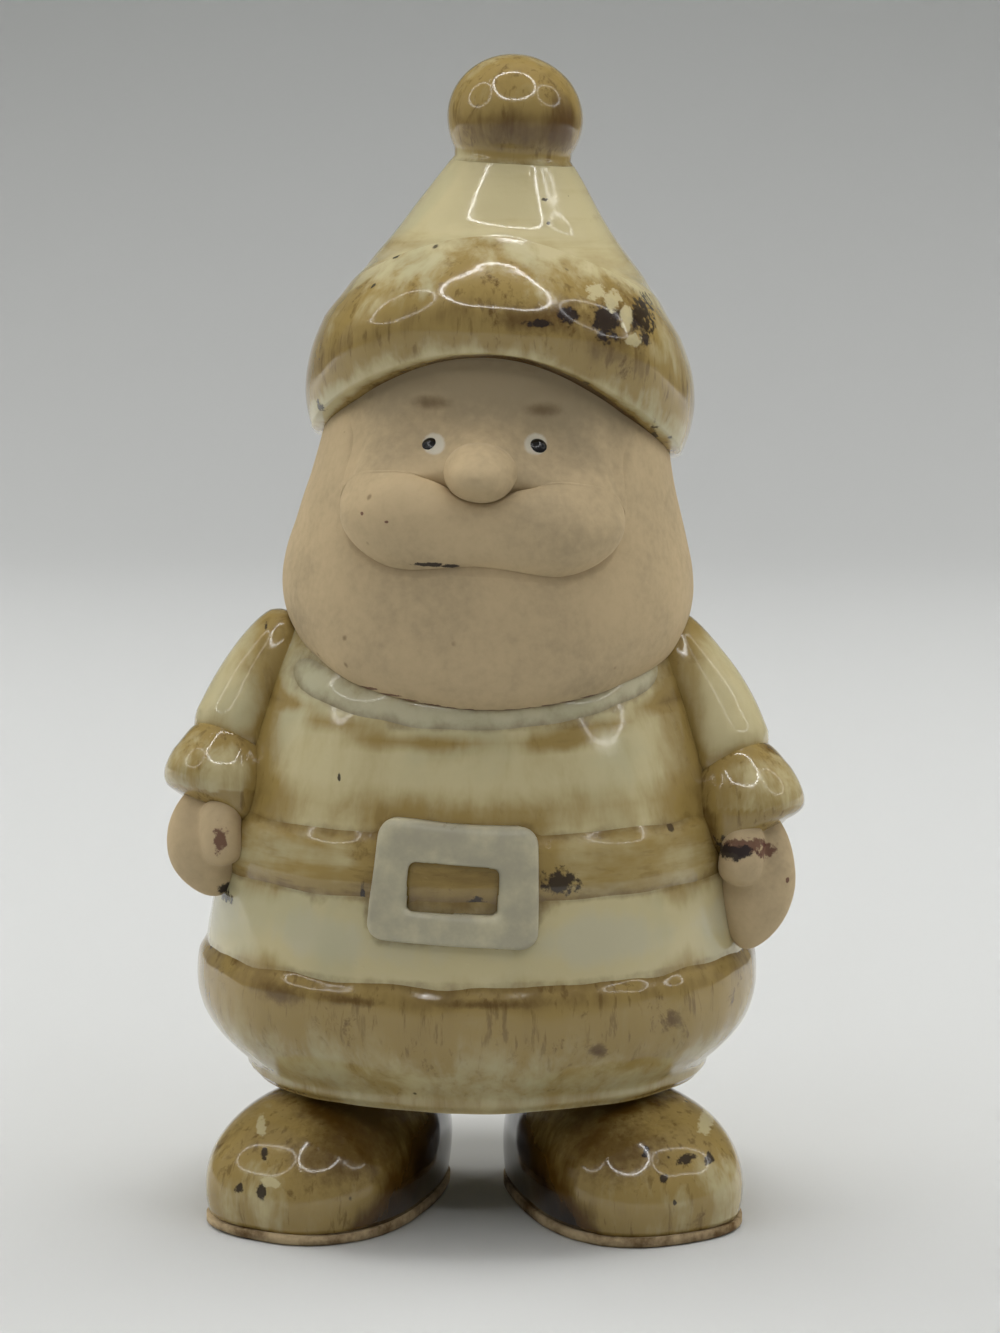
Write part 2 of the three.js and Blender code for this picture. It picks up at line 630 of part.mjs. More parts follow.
function makeMoustache() {
  const faceDepth = (x) => {
    const radius = BEARD_CHEEK_RADIUS - MOUSTACHE_PROUD;
    return -Math.sqrt(radius ** 2 - x ** 2) * BEARD_DEPTH;
  };
  const shares = [-1, -0.55, 0, 0.55, 1];
  const stations = shares.map((share) => {
    const x = share * MOUSTACHE_HALF_WIDTH;
    return [x, faceDepth(x), MOUSTACHE_HEIGHT + MOUSTACHE_TIP_RISE * share ** 4];
  });
  const radii = [
    [0, MOUSTACHE_RADIUS * 0.55],
    [0.25, MOUSTACHE_RADIUS],
    [0.5, MOUSTACHE_RADIUS * MOUSTACHE_WAIST],
    [0.75, MOUSTACHE_RADIUS],
    [1, MOUSTACHE_RADIUS * 0.55],
  ];
  const form = (grow) => limb(stations, radii, grow, { flatness: MOUSTACHE_FLATNESS });
  return piece(bust, "moustache", bisque, form);
}

function makeNose() {
  const form = (grow) =>
    new THREE.SphereGeometry(1, SMALL_SIDES - 4, SMALL_SIDES / 2)
      .scale(NOSE_HALF_WIDTH + grow, NOSE_HALF_DEPTH + grow, NOSE_HALF_HEIGHT + grow)
      .translate(0, -(BEARD_CHEEK_RADIUS + MOUSTACHE_PROUD), NOSE_HEIGHT);
  return piece(bust, "nose", bisque, form);
}

function makeEye(name, side) {
  const faceRadius = radiusAt(headOutline, EYE_HEIGHT);
  const flatness = 0.55;
  const form = (grow) =>
    new THREE.SphereGeometry(1, SMALL_SIDES / 2, SMALL_SIDES / 2 - 2)
      .scale(EYE_RADIUS + grow, EYE_RADIUS * flatness + grow, EYE_RADIUS + grow)
      .rotateZ(side * Math.asin(EYE_SPREAD / faceRadius))
      .translate(side * EYE_SPREAD, -Math.sqrt(faceRadius ** 2 - EYE_SPREAD ** 2), EYE_HEIGHT);
  return piece(bust, name + "_eye", enamel, form);
}

// Hat

const crownOutline = outline([
  [HEAD_TOP_HEIGHT + LUTE, HEAD_TOP_RADIUS],
  [CROWN_SHOULDER_HEIGHT, CROWN_SHOULDER_RADIUS],
  [CROWN_MIDDLE_HEIGHT, CROWN_MIDDLE_RADIUS],
  [CROWN_TIP_HEIGHT, CROWN_TIP_RADIUS],
]);

function makeCrown() {
  const form = (grow) => turned(offset(crownOutline, grow));
  const crown = piece(bust, "hat_crown", cream, form);
  const roof = CROWN_TIP_HEIGHT - CROWN_TIP_SOLID;
  const inside = offset(crownOutline, -WALL).filter((point) => point.y < roof && point.x > WALL / 2);
  inside.unshift(new THREE.Vector2(HEAD_TOP_RADIUS - WALL, HEAD_TOP_HEIGHT - WALL));
  hollow(crown, turned(inside, SMALL_SIDES));
  hollow(crown, bar(TENON_RADIUS + LUTE, CROWN_TIP_HEIGHT - TENON_LENGTH, CROWN_TIP_HEIGHT + WALL, SMALL_SIDES / 2));
  return crown;
}

function makeBrim() {
  const lower = (angle) => BRIM_FRONT - sweep(BRIM_NAPE_DROP, BRIM_SIDE_DROP, angle);
  const upper = (angle) => BRIM_TOP_FRONT - sweep(BRIM_TOP_NAPE_DROP, BRIM_TOP_SIDE_DROP, angle);
  const base = (z) => (z < HEAD_TOP_HEIGHT ? radiusAt(headOutline, z) : radiusAt(crownOutline, z));
  const start = 0.18; // share of the swelling's half turn that its lower edge has already made
  const relief = (t) => BRIM_SWELL * Math.sin(Math.PI * (start + (1 - start) * t)) + LUTE + BRIM_EDGE;
  return piece(bust, "hat_brim", ochre, (grow) => wrapped({ base, lower, upper, relief, seat: 2 }, grow));
}

function makePompom() {
  const bottom = CROWN_TIP_HEIGHT + LUTE;
  const ball = outline([
    [bottom, POMPOM_SEAT_RADIUS],
    [bottom + POMPOM_HEIGHT * 0.42, POMPOM_RADIUS],
    [bottom + POMPOM_HEIGHT * 0.84, POMPOM_RADIUS * 0.68],
    [bottom + POMPOM_HEIGHT, 0],
  ]);
  const form = (grow) => {
    const tenon = bar(TENON_RADIUS + grow, CROWN_TIP_HEIGHT - TENON_LENGTH + LUTE - grow, bottom + WALL, SMALL_SIDES / 2);
    return geometryOf(solidOf(turned(offset(ball, grow), SMALL_SIDES + 4)).add(solidOf(tenon)));
  };
  return piece(bust, "hat_pompom", ochre, form);
}

// Assembly: each piece is cut back from the ones it is luted to

const coat = makeCoat();
const hem = makeHem();
const belt = makeBelt();
const buckle = makeBuckle();
const collar = makeCollar();
const head = makeHead();
const beard = makeBeard();
const moustache = makeMoustache();
const nose = makeNose();
const crown = makeCrown();
const brim = makeBrim();
makePompom();

seat(coat, hem, belt, collar);
seat(buckle, coat, belt, hem);
seat(beard, coat, collar, head);
seat(moustache, beard, head);
seat(nose, head, beard, moustache);
seat(brim, head, crown, beard);

for (const [name, side] of [["right", -1], ["left", 1]]) {
  const eye = makeEye(name, side);
  seat(head, eye);
  const leg = makeLeg(name, side);
  const boot = makeBoot(name, side);
  makeSole(name, side);
  seat(coat, leg);
  seat(boot, leg, hem, coat);
}

for (const arm of arms) {
  const sleeve = makeSleeve(arm);
  const cuff = makeCuff(arm);
  const hand = makeHand(arm);
  seat(sleeve, coat, collar, belt, beard);
  seat(cuff, sleeve, coat, belt);
  seat(hand, sleeve, coat, belt, hem);
  seat(cuff, hand);
}

// The figure's own frame has its origin under the middle of its bounding box.
const part = new THREE.Group();
part.add(figure);
const bounds = new THREE.Box3().setFromObject(part);
const middle = bounds.getCenter(new THREE.Vector3());
figure.position.set(-middle.x, -middle.y, -bounds.min.z);

export default part;
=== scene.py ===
"""A hand-glazed ceramic santa figurine, dressed over its solid model.

Laid out as an add-on: each operator models a piece or a group of like pieces, the last ones
soften the joins, find the creases and set the stage. All lengths are metres.
"""

import math

import bmesh
import bpy
import numpy as np
from bpy.props import FloatProperty, FloatVectorProperty, PointerProperty
from mathutils import Matrix, Vector, noise
from mathutils.bvhtree import BVHTree


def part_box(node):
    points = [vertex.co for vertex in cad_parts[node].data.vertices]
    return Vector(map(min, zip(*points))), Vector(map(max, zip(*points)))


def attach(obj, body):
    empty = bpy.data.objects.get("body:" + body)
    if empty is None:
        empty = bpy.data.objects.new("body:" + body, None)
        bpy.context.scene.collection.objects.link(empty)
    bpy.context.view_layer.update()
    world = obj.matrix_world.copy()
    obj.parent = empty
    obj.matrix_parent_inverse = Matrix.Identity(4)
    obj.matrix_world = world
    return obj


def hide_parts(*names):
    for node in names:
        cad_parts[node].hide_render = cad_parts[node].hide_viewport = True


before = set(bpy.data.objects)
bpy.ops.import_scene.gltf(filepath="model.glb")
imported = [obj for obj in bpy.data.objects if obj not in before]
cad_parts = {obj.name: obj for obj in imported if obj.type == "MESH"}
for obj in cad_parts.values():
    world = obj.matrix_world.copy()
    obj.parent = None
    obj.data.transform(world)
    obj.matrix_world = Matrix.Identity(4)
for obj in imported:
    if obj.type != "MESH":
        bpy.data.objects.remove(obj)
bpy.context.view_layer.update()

bl_info = {
    "name": "Ceramic Santa Figurine",
    "version": (1, 0, 0),
    "blender": (4, 5, 0),
    "location": "3D View > Sidebar > Santa",
    "description": "Models a hand-glazed ceramic santa figurine and its studio stage",
    "category": "Add Mesh",
}

MM = 0.001

# Places that come from the solid model
HEM_LOW, HEM_HIGH = (Vector(corner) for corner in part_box("coat_hem"))
AXIS = Vector(((HEM_LOW.x + HEM_HIGH.x) / 2, (HEM_LOW.y + HEM_HIGH.y) / 2, 0))
COAT_LOW, COAT_HIGH = (Vector(corner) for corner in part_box("coat_body"))
FLOOR = COAT_LOW.z
NECK = COAT_HIGH.z
SOLE_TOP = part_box("left_sole")[1][2]

# Faces round a piece
AROUND = 160
SMALL_AROUND = 64

# Clay
WALL = 2.4 * MM
BAND_SEAT = 0.7 * MM
COAT_DEPTH = 0.93
VENT_RADIUS = 2.5 * MM
BELT_MIDDLE = FLOOR + 18 * MM


def length(name, description, default):
    """A size that a user would change."""
    return FloatProperty(name=name, description=description, default=default, unit="LENGTH", precision=4)


def colour(name, description, default):
    """A glaze or clay colour that a user would change, written as sRGB numbers from 0 to 255."""
    return FloatVectorProperty(
        name=name, description=description, default=linear(*default), size=4, subtype="COLOR", min=0, max=1
    )


def linear(red, green, blue):
    """Scene linear colour for sRGB numbers from 0 to 255."""

    def channel(value):
        share = value / 255
        return share / 12.92 if share <= 0.04045 else ((share + 0.055) / 1.055) ** 2.4

    return (channel(red), channel(green), channel(blue), 1.0)


class SantaSizes(bpy.types.PropertyGroup):
    """Sizes of the figure's pieces"""

    coat_rim_radius: length("Coat rim radius", "Half width of the coat at its floor", 0.018)
    coat_hip_radius: length("Coat hip radius", "Half width of the coat at its widest", 0.0215)
    coat_waist_radius: length("Coat waist radius", "Half width of the coat under the belt", 0.0197)
    coat_shoulder_radius: length("Coat shoulder radius", "Half width of the coat at the shoulders", 0.0148)
    coat_neck_radius: length("Coat neck radius", "Half width of the coat's neck", 0.0108)
    hem_height: length("Hem height", "Height of the fur hem", 0.0109)
    hem_relief: length("Hem relief", "How far the fur hem stands out of the coat", 0.0008)
    belt_height: length("Belt height", "Height of the belt", 0.0056)
    belt_relief: length("Belt relief", "How far the belt stands out of the coat", 0.0004)
    collar_height: length("Collar height", "Height of the band under the beard", 0.0026)
    collar_relief: length("Collar relief", "How far the collar stands out of the coat", 0.0003)
    buckle_width: length("Buckle width", "Width of the belt buckle", 0.012)
    buckle_height: length("Buckle height", "Height of the belt buckle", 0.009)
    buckle_relief: length("Buckle relief", "How far the buckle stands out of the coat", 0.001)
    sleeve_radius: length("Sleeve radius", "Half width of a sleeve at the elbow", 0.0047)
    cuff_radius: length("Cuff radius", "Half width of a cuff", 0.0045)
    hand_radius: length("Hand radius", "Half width of a mitten hand", 0.0031)
    beard_radius: length("Beard radius", "Half width of the beard at the jaw", 0.0166)
    moustache_half_width: length("Moustache half width", "From the nose to a tip of the moustache", 0.0109)
    moustache_radius: length("Moustache radius", "Half height of a moustache lobe", 0.0035)
    nose_half_width: length("Nose half width", "Half width of the nose", 0.0022)
    eye_radius: length("Eye radius", "Half width of an eye dot", 0.00076)
    brim_swell: length("Brim swell", "How far the hat's fur roll swells", 0.0021)
    pompom_radius: length("Pompom radius", "Half width of the ball on the hat", 0.00525)
    boot_length: length("Boot length", "Length of a boot", 0.026)
    boot_width: length("Boot width", "Width of a boot at its middle", 0.0149)
    boot_height: length("Boot height", "Height of a boot over its sole", 0.0098)
    unevenness: length("Unevenness", "How far hand shaping moves the clay", 0.00022)
    join_softness: length("Join softness", "How widely glaze rounds off a join", 0.0022)


class SantaColours(bpy.types.PropertyGroup):
    """Colours of the figure's glazes and clays"""

    ivory: colour("Ivory", "Clear glaze over pale slip", (198, 186, 143))
    ochre: colour("Ochre", "Brushed iron wash under the glaze", (154, 131, 75))
    umber: colour("Umber", "Iron wash pooled in creases", (88, 62, 20))
    pale: colour("Pale", "Thick white glaze", (192, 185, 154))
    celadon: colour("Celadon", "Greener parts of the clear glaze", (176, 172, 138))
    soot: colour("Soot", "Burnt specks and chips", (26, 12, 10))
    bisque: colour("Bisque", "Unglazed clay of the face and hands", (192, 170, 132))
    bisque_shade: colour("Bisque shade", "Greyer parts of the unglazed clay", (152, 136, 106))
    eye_white: colour("Eye white", "Painted patches round the eye dots", (206, 200, 182))
    buckle: colour("Buckle", "Matte underglaze of the buckle", (164, 158, 136))
    remnant: colour("Remnant", "Dark red clay that shows at the cuffs and joins", (78, 16, 8))


def clamp(value, low=0.0, high=1.0):
    return max(low, min(high, value))


def smoothstep(value, low, high):
    share = clamp((value - low) / (high - low))
    return share * share * (3 - 2 * share)


def bump(distance, width):
    """1 at no distance, falling smoothly to 0 at a width."""
    return (1 - clamp(abs(distance) / width) ** 2) ** 2


def smooth_line(points, steps):
    """Points of a smooth curve through a few points."""
    line = []
    last = len(points) - 1
    for step in range(steps + 1):
        whole, share = divmod(step / steps * last, 1)
        index = min(int(whole), last)
        a, b, c, d = (points[clamp(index + shift, 0, last)] for shift in (-1, 0, 1, 2))
        line.append(tuple(catmull_rom(share, *values) for values in zip(a, b, c, d)))
    return line


def catmull_rom(share, before, start, end, after):
    leave = (end - before) / 2
    arrive = (after - start) / 2
    cubic = 2 * start - 2 * end + leave + arrive
    square = 3 * end - 3 * start - 2 * leave - arrive
    return ((cubic * share + square) * share + leave) * share + start


class Outline:
    """The radius of a turned body at each height, from a few (height, radius) pairs."""

    def __init__(self, pairs):
        self.points = smooth_line(pairs, 60)
        self.heights, self.radii = zip(*self.points)

    def radius(self, height):
        return float(np.interp(height, self.heights, self.radii))

    def around(self, height, angle):
        """The radius at a height, which is the same at every angle."""
        return self.radius(height)


def sweep(to_nape, to_side, angle):
    """How far a band's edge has moved from its height at the front, at an angle from the front."""
    return (to_nape * (1 - math.cos(angle)) + to_side * (1 - math.cos(2 * angle))) / 2


def spun(points, steps):
    """A bmesh turned about the upright axis from (radius, height) points."""
    bm = bmesh.new()
    rim = [bm.verts.new((radius, 0, height)) for radius, height in points]
    for low, high in zip(rim, rim[1:]):
        bm.edges.new((low, high))
    bmesh.ops.spin(
        bm,
        geom=bm.verts[:] + bm.edges[:],
        cent=(0, 0, 0),
        axis=(0, 0, 1),
        angle=2 * math.pi,
        steps=steps,
        use_merge=True,
    )
    bmesh.ops.remove_doubles(bm, verts=bm.verts, dist=1e-7)
    bmesh.ops.recalc_face_normals(bm, faces=bm.faces)
    return bm


def angle_of(point):
    """Angle round the upright axis from the front, positive to the figure's left."""
    return math.atan2(point.x, -point.y)


def wrapped_band(base, lower, upper, relief, seat=BAND_SEAT, depth=1.0, rows=26):
    """A closed band round a body: base(height, angle) is the body's radius, lower(angle) and
    upper(angle) are the band's edges, and relief(share, angle) is how far its face stands out."""
    face, back = 0.002, 0.001
    shares = [(1 - math.cos(math.pi * row / rows)) / 2 for row in range(rows + 1)]
    section = [(face, share * MM) for share in shares]
    section += [(back, MM), (back, 0.5 * MM), (back, 0), section[0]]
    bm = spun(section, AROUND)
    for vert in bm.verts:
        angle = angle_of(vert.co)
        share = clamp(vert.co.z / MM)
        on_face = math.hypot(vert.co.x, vert.co.y) > (face + back) / 2
        height = lower(angle) + (upper(angle) - lower(angle)) * share
        radius = base(height, angle) + (relief(share, angle) if on_face else -seat)
        vert.co = (radius * math.sin(angle), -radius * math.cos(angle) * depth, height)
    bmesh.ops.recalc_face_normals(bm, faces=bm.faces)
    return bm


def limb(stations, radii, flatness=1.0, rows=40, fullness=5.0, steps=SMALL_AROUND):
    """A rounded limb whose (share of length, radius) pairs are carried along a smooth curve."""
    line = [Vector(point) for point in smooth_line(stations, rows)]
    pieces = [(b - a).length for a, b in zip(line, line[1:])]
    along = np.concatenate(([0.0], np.cumsum(pieces)))
    total = along[-1]
    thickness = Outline(radii)
    profile = []
    for row in range(rows + 1):
        share = (1 - math.cos(math.pi * row / rows)) / 2
        rounding = math.sqrt(max(1 - abs(2 * share - 1) ** fullness, 0))
        profile.append((thickness.radius(share) * rounding, share * total))
    bm = spun(profile, steps)
    for vert in bm.verts:
        place = [float(np.interp(vert.co.z, along, [p[i] for p in line])) for i in range(3)]
        ahead = [float(np.interp(vert.co.z + 0.02 * total, along, [p[i] for p in line])) for i in range(3)]
        behind = [float(np.interp(vert.co.z - 0.02 * total, along, [p[i] for p in line])) for i in range(3)]
        tangent = (Vector(ahead) - Vector(behind)).normalized()
        side = Vector((0, 1, 0))
        side = (side - tangent * side.dot(tangent)).normalized()
        other = tangent.cross(side)
        vert.co = Vector(place) + other * vert.co.x - side * vert.co.y * flatness
    bmesh.ops.recalc_face_normals(bm, faces=bm.faces)
    return bm


def handmade(bm, amount):
    """Moves the clay in and out a little, as fingers and a sponge do."""
    bm.normal_update()
    for vert in bm.verts:
        point = vert.co
        wide = noise.noise(point * 130) + 0.15 * noise.noise(point * 420 + Vector((7, 3, 5)))
        vert.co = point + vert.normal * wide * amount
        vert.co.z = max(vert.co.z, 0)


def bust_matrix():
    """The place of the head and hat, which lean to one side and look a little to the other."""
    lean = math.radians(3.3)
    turn = math.radians(3)
    shift = 0.9 * MM
    turned = Matrix.Rotation(lean, 4, "Y") @ Matrix.Rotation(-turn, 4, "Z")
    return Matrix.Translation((shift, 0, NECK)) @ turned


def finish(name, bm, material, nodes, stain_and_shade=None, bust=False):
    """Makes a piece of a bmesh, in its place, standing for its solids."""
    layer = bm.verts.layers.float.new("stain_and_shade")
    for vert in bm.verts:
        vert[layer] = stain_and_shade(vert.co) if stain_and_shade else 0.0
    place = bust_matrix() if bust else Matrix()
    bmesh.ops.transform(bm, matrix=Matrix.Translation(AXIS) @ place, verts=bm.verts)
    handmade(bm, bpy.context.scene.santa_sizes.unevenness)
    mesh = bpy.data.meshes.new(name)
    bm.to_mesh(mesh)
    bm.free()
    mesh.polygons.foreach_set("use_smooth", [True] * len(mesh.polygons))
    mesh.materials.append(material)
    piece = bpy.data.objects.new(name, mesh)
    bpy.context.collection.objects.link(piece)
    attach(piece, "root")
    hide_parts(*nodes)
    return piece


# Shader groups


class Wiring:
    """Short ways to add and link nodes in a tree."""

    def __init__(self, tree):
        self.tree = tree

    def add(self, kind, inputs=None, **settings):
        node = self.tree.nodes.new(kind)
        for key, value in settings.items():
            setattr(node, key, value)
        for key, value in (inputs or {}).items():
            if isinstance(value, bpy.types.NodeSocket):
                self.tree.links.new(value, node.inputs[key])
            else:
                node.inputs[key].default_value = value
        return node

    def math(self, operation, first, second=0.0):
        return self.add("ShaderNodeMath", {0: first, 1: second}, operation=operation).outputs[0]

    def vector_math(self, operation, first, second):
        return self.add("ShaderNodeVectorMath", {0: first, 1: second}, operation=operation).outputs[0]

    def between(self, value, low, high):
        """A value from 0 to 1 taken to a range."""
        inputs = {"Value": value, "To Min": low, "To Max": high}
        return self.add("ShaderNodeMapRange", inputs).outputs["Result"]

    def color_parts(self, color):
        return self.add("ShaderNodeSeparateColor", {"Color": color}).outputs

    def ramp(self, value, low, high):
        """0 below low, 1 above high, smooth between."""
        inputs = {"Value": value, "From Min": low, "From Max": high}
        node = self.add("ShaderNodeMapRange", inputs, interpolation_type="SMOOTHSTEP")
        return node.outputs["Result"]

    def mix(self, mask, first, second):
        node = self.add("ShaderNodeMix", data_type="RGBA", clamp_factor=True)
        for socket, value in ((node.inputs[0], mask), (node.inputs[6], first), (node.inputs[7], second)):
            if isinstance(value, bpy.types.NodeSocket):
                self.tree.links.new(value, socket)
            else:
                socket.default_value = value
        return node.outputs[2]

    def noise(self, vector, scale, detail=3.0, roughness=0.5, distortion=0.0):
        inputs = {
            "Vector": vector,
            "Scale": scale,
            "Detail": detail,
            "Roughness": roughness,
            "Distortion": distortion,
        }
        return self.add("ShaderNodeTexNoise", inputs).outputs[0]


def group(name, inputs, outputs, build):
    """A shader group, built once. Inputs are (name, kind, default)."""
    if name in bpy.data.node_groups:
        return bpy.data.node_groups[name]
    tree = bpy.data.node_groups.new(name, "ShaderNodeTree")
    for label, kind, default in inputs:
        socket = tree.interface.new_socket(label, in_out="INPUT", socket_type=kind)
        if default is not None:
            socket.default_value = default
    for label, kind in outputs:
        tree.interface.new_socket(label, in_out="OUTPUT", socket_type=kind)
    wires = Wiring(tree)
    source = wires.add("NodeGroupInput")
    target = wires.add("NodeGroupOutput")
    for label, socket in build(wires, source.outputs).items():
        tree.links.new(socket, target.inputs[label])
    return tree


VECTOR = "NodeSocketVector"
FLOAT = "NodeSocketFloat"


def specks_group():
    """Sparse small dots of uneven size."""

    def build(wires, given):
        reach = 0.00025
        clouds = wires.add("ShaderNodeTexNoise", {"Vector": given["Vector"], "Scale": 2200.0, "Detail": 2.0})
        nudge = {0: clouds.outputs["Color"], 1: (reach, reach, reach), 2: given["Vector"]}
        shifted = wires.add("ShaderNodeVectorMath", nudge, operation="MULTIPLY_ADD").outputs[0]
        cells = wires.add("ShaderNodeTexVoronoi", {"Vector": shifted, "Scale": given["Scale"]})
        chance = wires.color_parts(cells.outputs["Color"])
        chosen = wires.math("LESS_THAN", chance["Red"], given["Amount"])
        size = wires.math("MULTIPLY", chance["Green"], given["Size"])
        dot = wires.math("SUBTRACT", size, cells.outputs["Distance"])
        sharp = wires.ramp(dot, 0.0, 0.1)
        return {"Mask": wires.math("MULTIPLY", sharp, chosen)}

    inputs = [
        ("Vector", VECTOR, None),
        ("Scale", FLOAT, 400.0),
        ("Amount", FLOAT, 0.2),
        ("Size", FLOAT, 0.4),
    ]
    return group("Specks", inputs, [("Mask", FLOAT)], build)


def streaks_group():
    """Brush streaks, long in the directions where Stretch is small."""

    def build(wires, given):
        drawn = wires.vector_math("MULTIPLY", given["Vector"], given["Stretch"])
        broad = wires.noise(drawn, 1.0, 4.0, 0.6, 0.3)
        return {"Mask": wires.ramp(broad, given["Low"], given["High"])}

    inputs = [
        ("Vector", VECTOR, None),
        ("Stretch", VECTOR, (300.0, 300.0, 60.0)),
        ("Low", FLOAT, 0.45),
        ("High", FLOAT, 0.7),
    ]
    return group("Brush streaks", inputs, [("Mask", FLOAT)], build)


def pooled_wash_and_shade_group():
    """Where wash and glaze gather near other pieces, broken up by noise; fed with how closely pieces face the
    surface, it is also painted shade.
    """

    def build(wires, given):
        ragged = wires.noise(given["Vector"], 700.0, 4.0, 0.6)
        spread = wires.math("MULTIPLY", wires.math("SUBTRACT", ragged, 0.5), given["Raggedness"])
        gathered = wires.math("ADD", given["Nearness"], spread)
        return {"Mask": wires.ramp(gathered, given["Low"], given["High"])}

    inputs = [
        ("Vector", VECTOR, None),
        ("Nearness", FLOAT, 0.0),
        ("Low", FLOAT, 0.25),
        ("High", FLOAT, 0.9),
        ("Raggedness", FLOAT, 0.5),
    ]
    return group("Pooled wash and shade", inputs, [("Mask", FLOAT)], build)


def stored(wires, name):
    """A value kept on each vertex of the piece."""
    return wires.add("ShaderNodeAttribute", attribute_name=name).outputs["Fac"]


def marked(wires, place, tone, tint, marks, raggedness=1.4, strength=1.0, full=0.75):
    """Ragged marks on the front. Each is its middle across and up, and half its width and height, in mm."""
    depth = 17 * MM
    for across, up, wide, high in marks:
        middle = (AXIS.x + across * MM, AXIS.y - depth, up * MM)
        size = (wide * MM, depth, high * MM)
        shape = {"Place": middle, "Size": size, "Raggedness": raggedness, "Full": full}
        mask = placed(wires, blemish_group(), Vector=place, **shape)
        tone = wires.mix(wires.math("MULTIPLY", mask, strength), tone, tint[:])
    return tone


def blemish_group():
    """A ragged mark round a place on the surface."""

    def build(wires, given):
        away = wires.vector_math("SUBTRACT", given["Vector"], given["Place"])
        scaled = wires.vector_math("DIVIDE", away, given["Size"])
        reach = wires.add("ShaderNodeVectorMath", {0: scaled}, operation="LENGTH").outputs["Value"]
        ragged = wires.noise(given["Vector"], 1400.0, 4.0, 0.65)
        spread = wires.math("MULTIPLY", wires.math("SUBTRACT", ragged, 0.5), given["Raggedness"])
        edge = wires.math("ADD", reach, spread)
        return {"Mask": wires.math("SUBTRACT", 1.0, wires.ramp(edge, given["Full"], 1.05))}

    inputs = [
        ("Vector", VECTOR, None),
        ("Place", VECTOR, (0.0, 0.0, 0.0)),
        ("Size", VECTOR, (0.001, 0.001, 0.001)),
        ("Raggedness", FLOAT, 1.6),
        ("Full", FLOAT, 0.75),
    ]
    return group("Blemish", inputs, [("Mask", FLOAT)], build)


def placed(wires, tree, **inputs):
    """A group node with some of its inputs set or linked. Underscores stand for spaces."""
    node = wires.add("ShaderNodeGroup", node_tree=tree)
    for key, value in inputs.items():
        socket = node.inputs[key.replace("_", " ")]
        if isinstance(value, bpy.types.NodeSocket):
            wires.tree.links.new(value, socket)
        else:
            socket.default_value = value
    return node.outputs[0]


def pooled(wires, place, attribute, low, high, raggedness):
    """A mask of where wash gathers, from a closeness kept on the vertices; from how closely pieces face the
    surface it is also painted shade.
    """
    near = stored(wires, attribute)
    settings = {"Low": low, "High": high, "Raggedness": raggedness}
    return placed(wires, pooled_wash_and_shade_group(), Vector=place, Nearness=near, **settings)


def blank_material(name):
    """A material with a Principled shader, its wiring and the object's coordinates."""
    material = bpy.data.materials.new(name)
    material.use_nodes = True
    material.node_tree.nodes.clear()
    wires = Wiring(material.node_tree)
    shader = wires.add("ShaderNodeBsdfPrincipled")
    wires.add("ShaderNodeOutputMaterial", {"Surface": shader.outputs[0]})
    place = wires.add("ShaderNodeTexCoord").outputs["Object"]
    return material, wires, shader, place


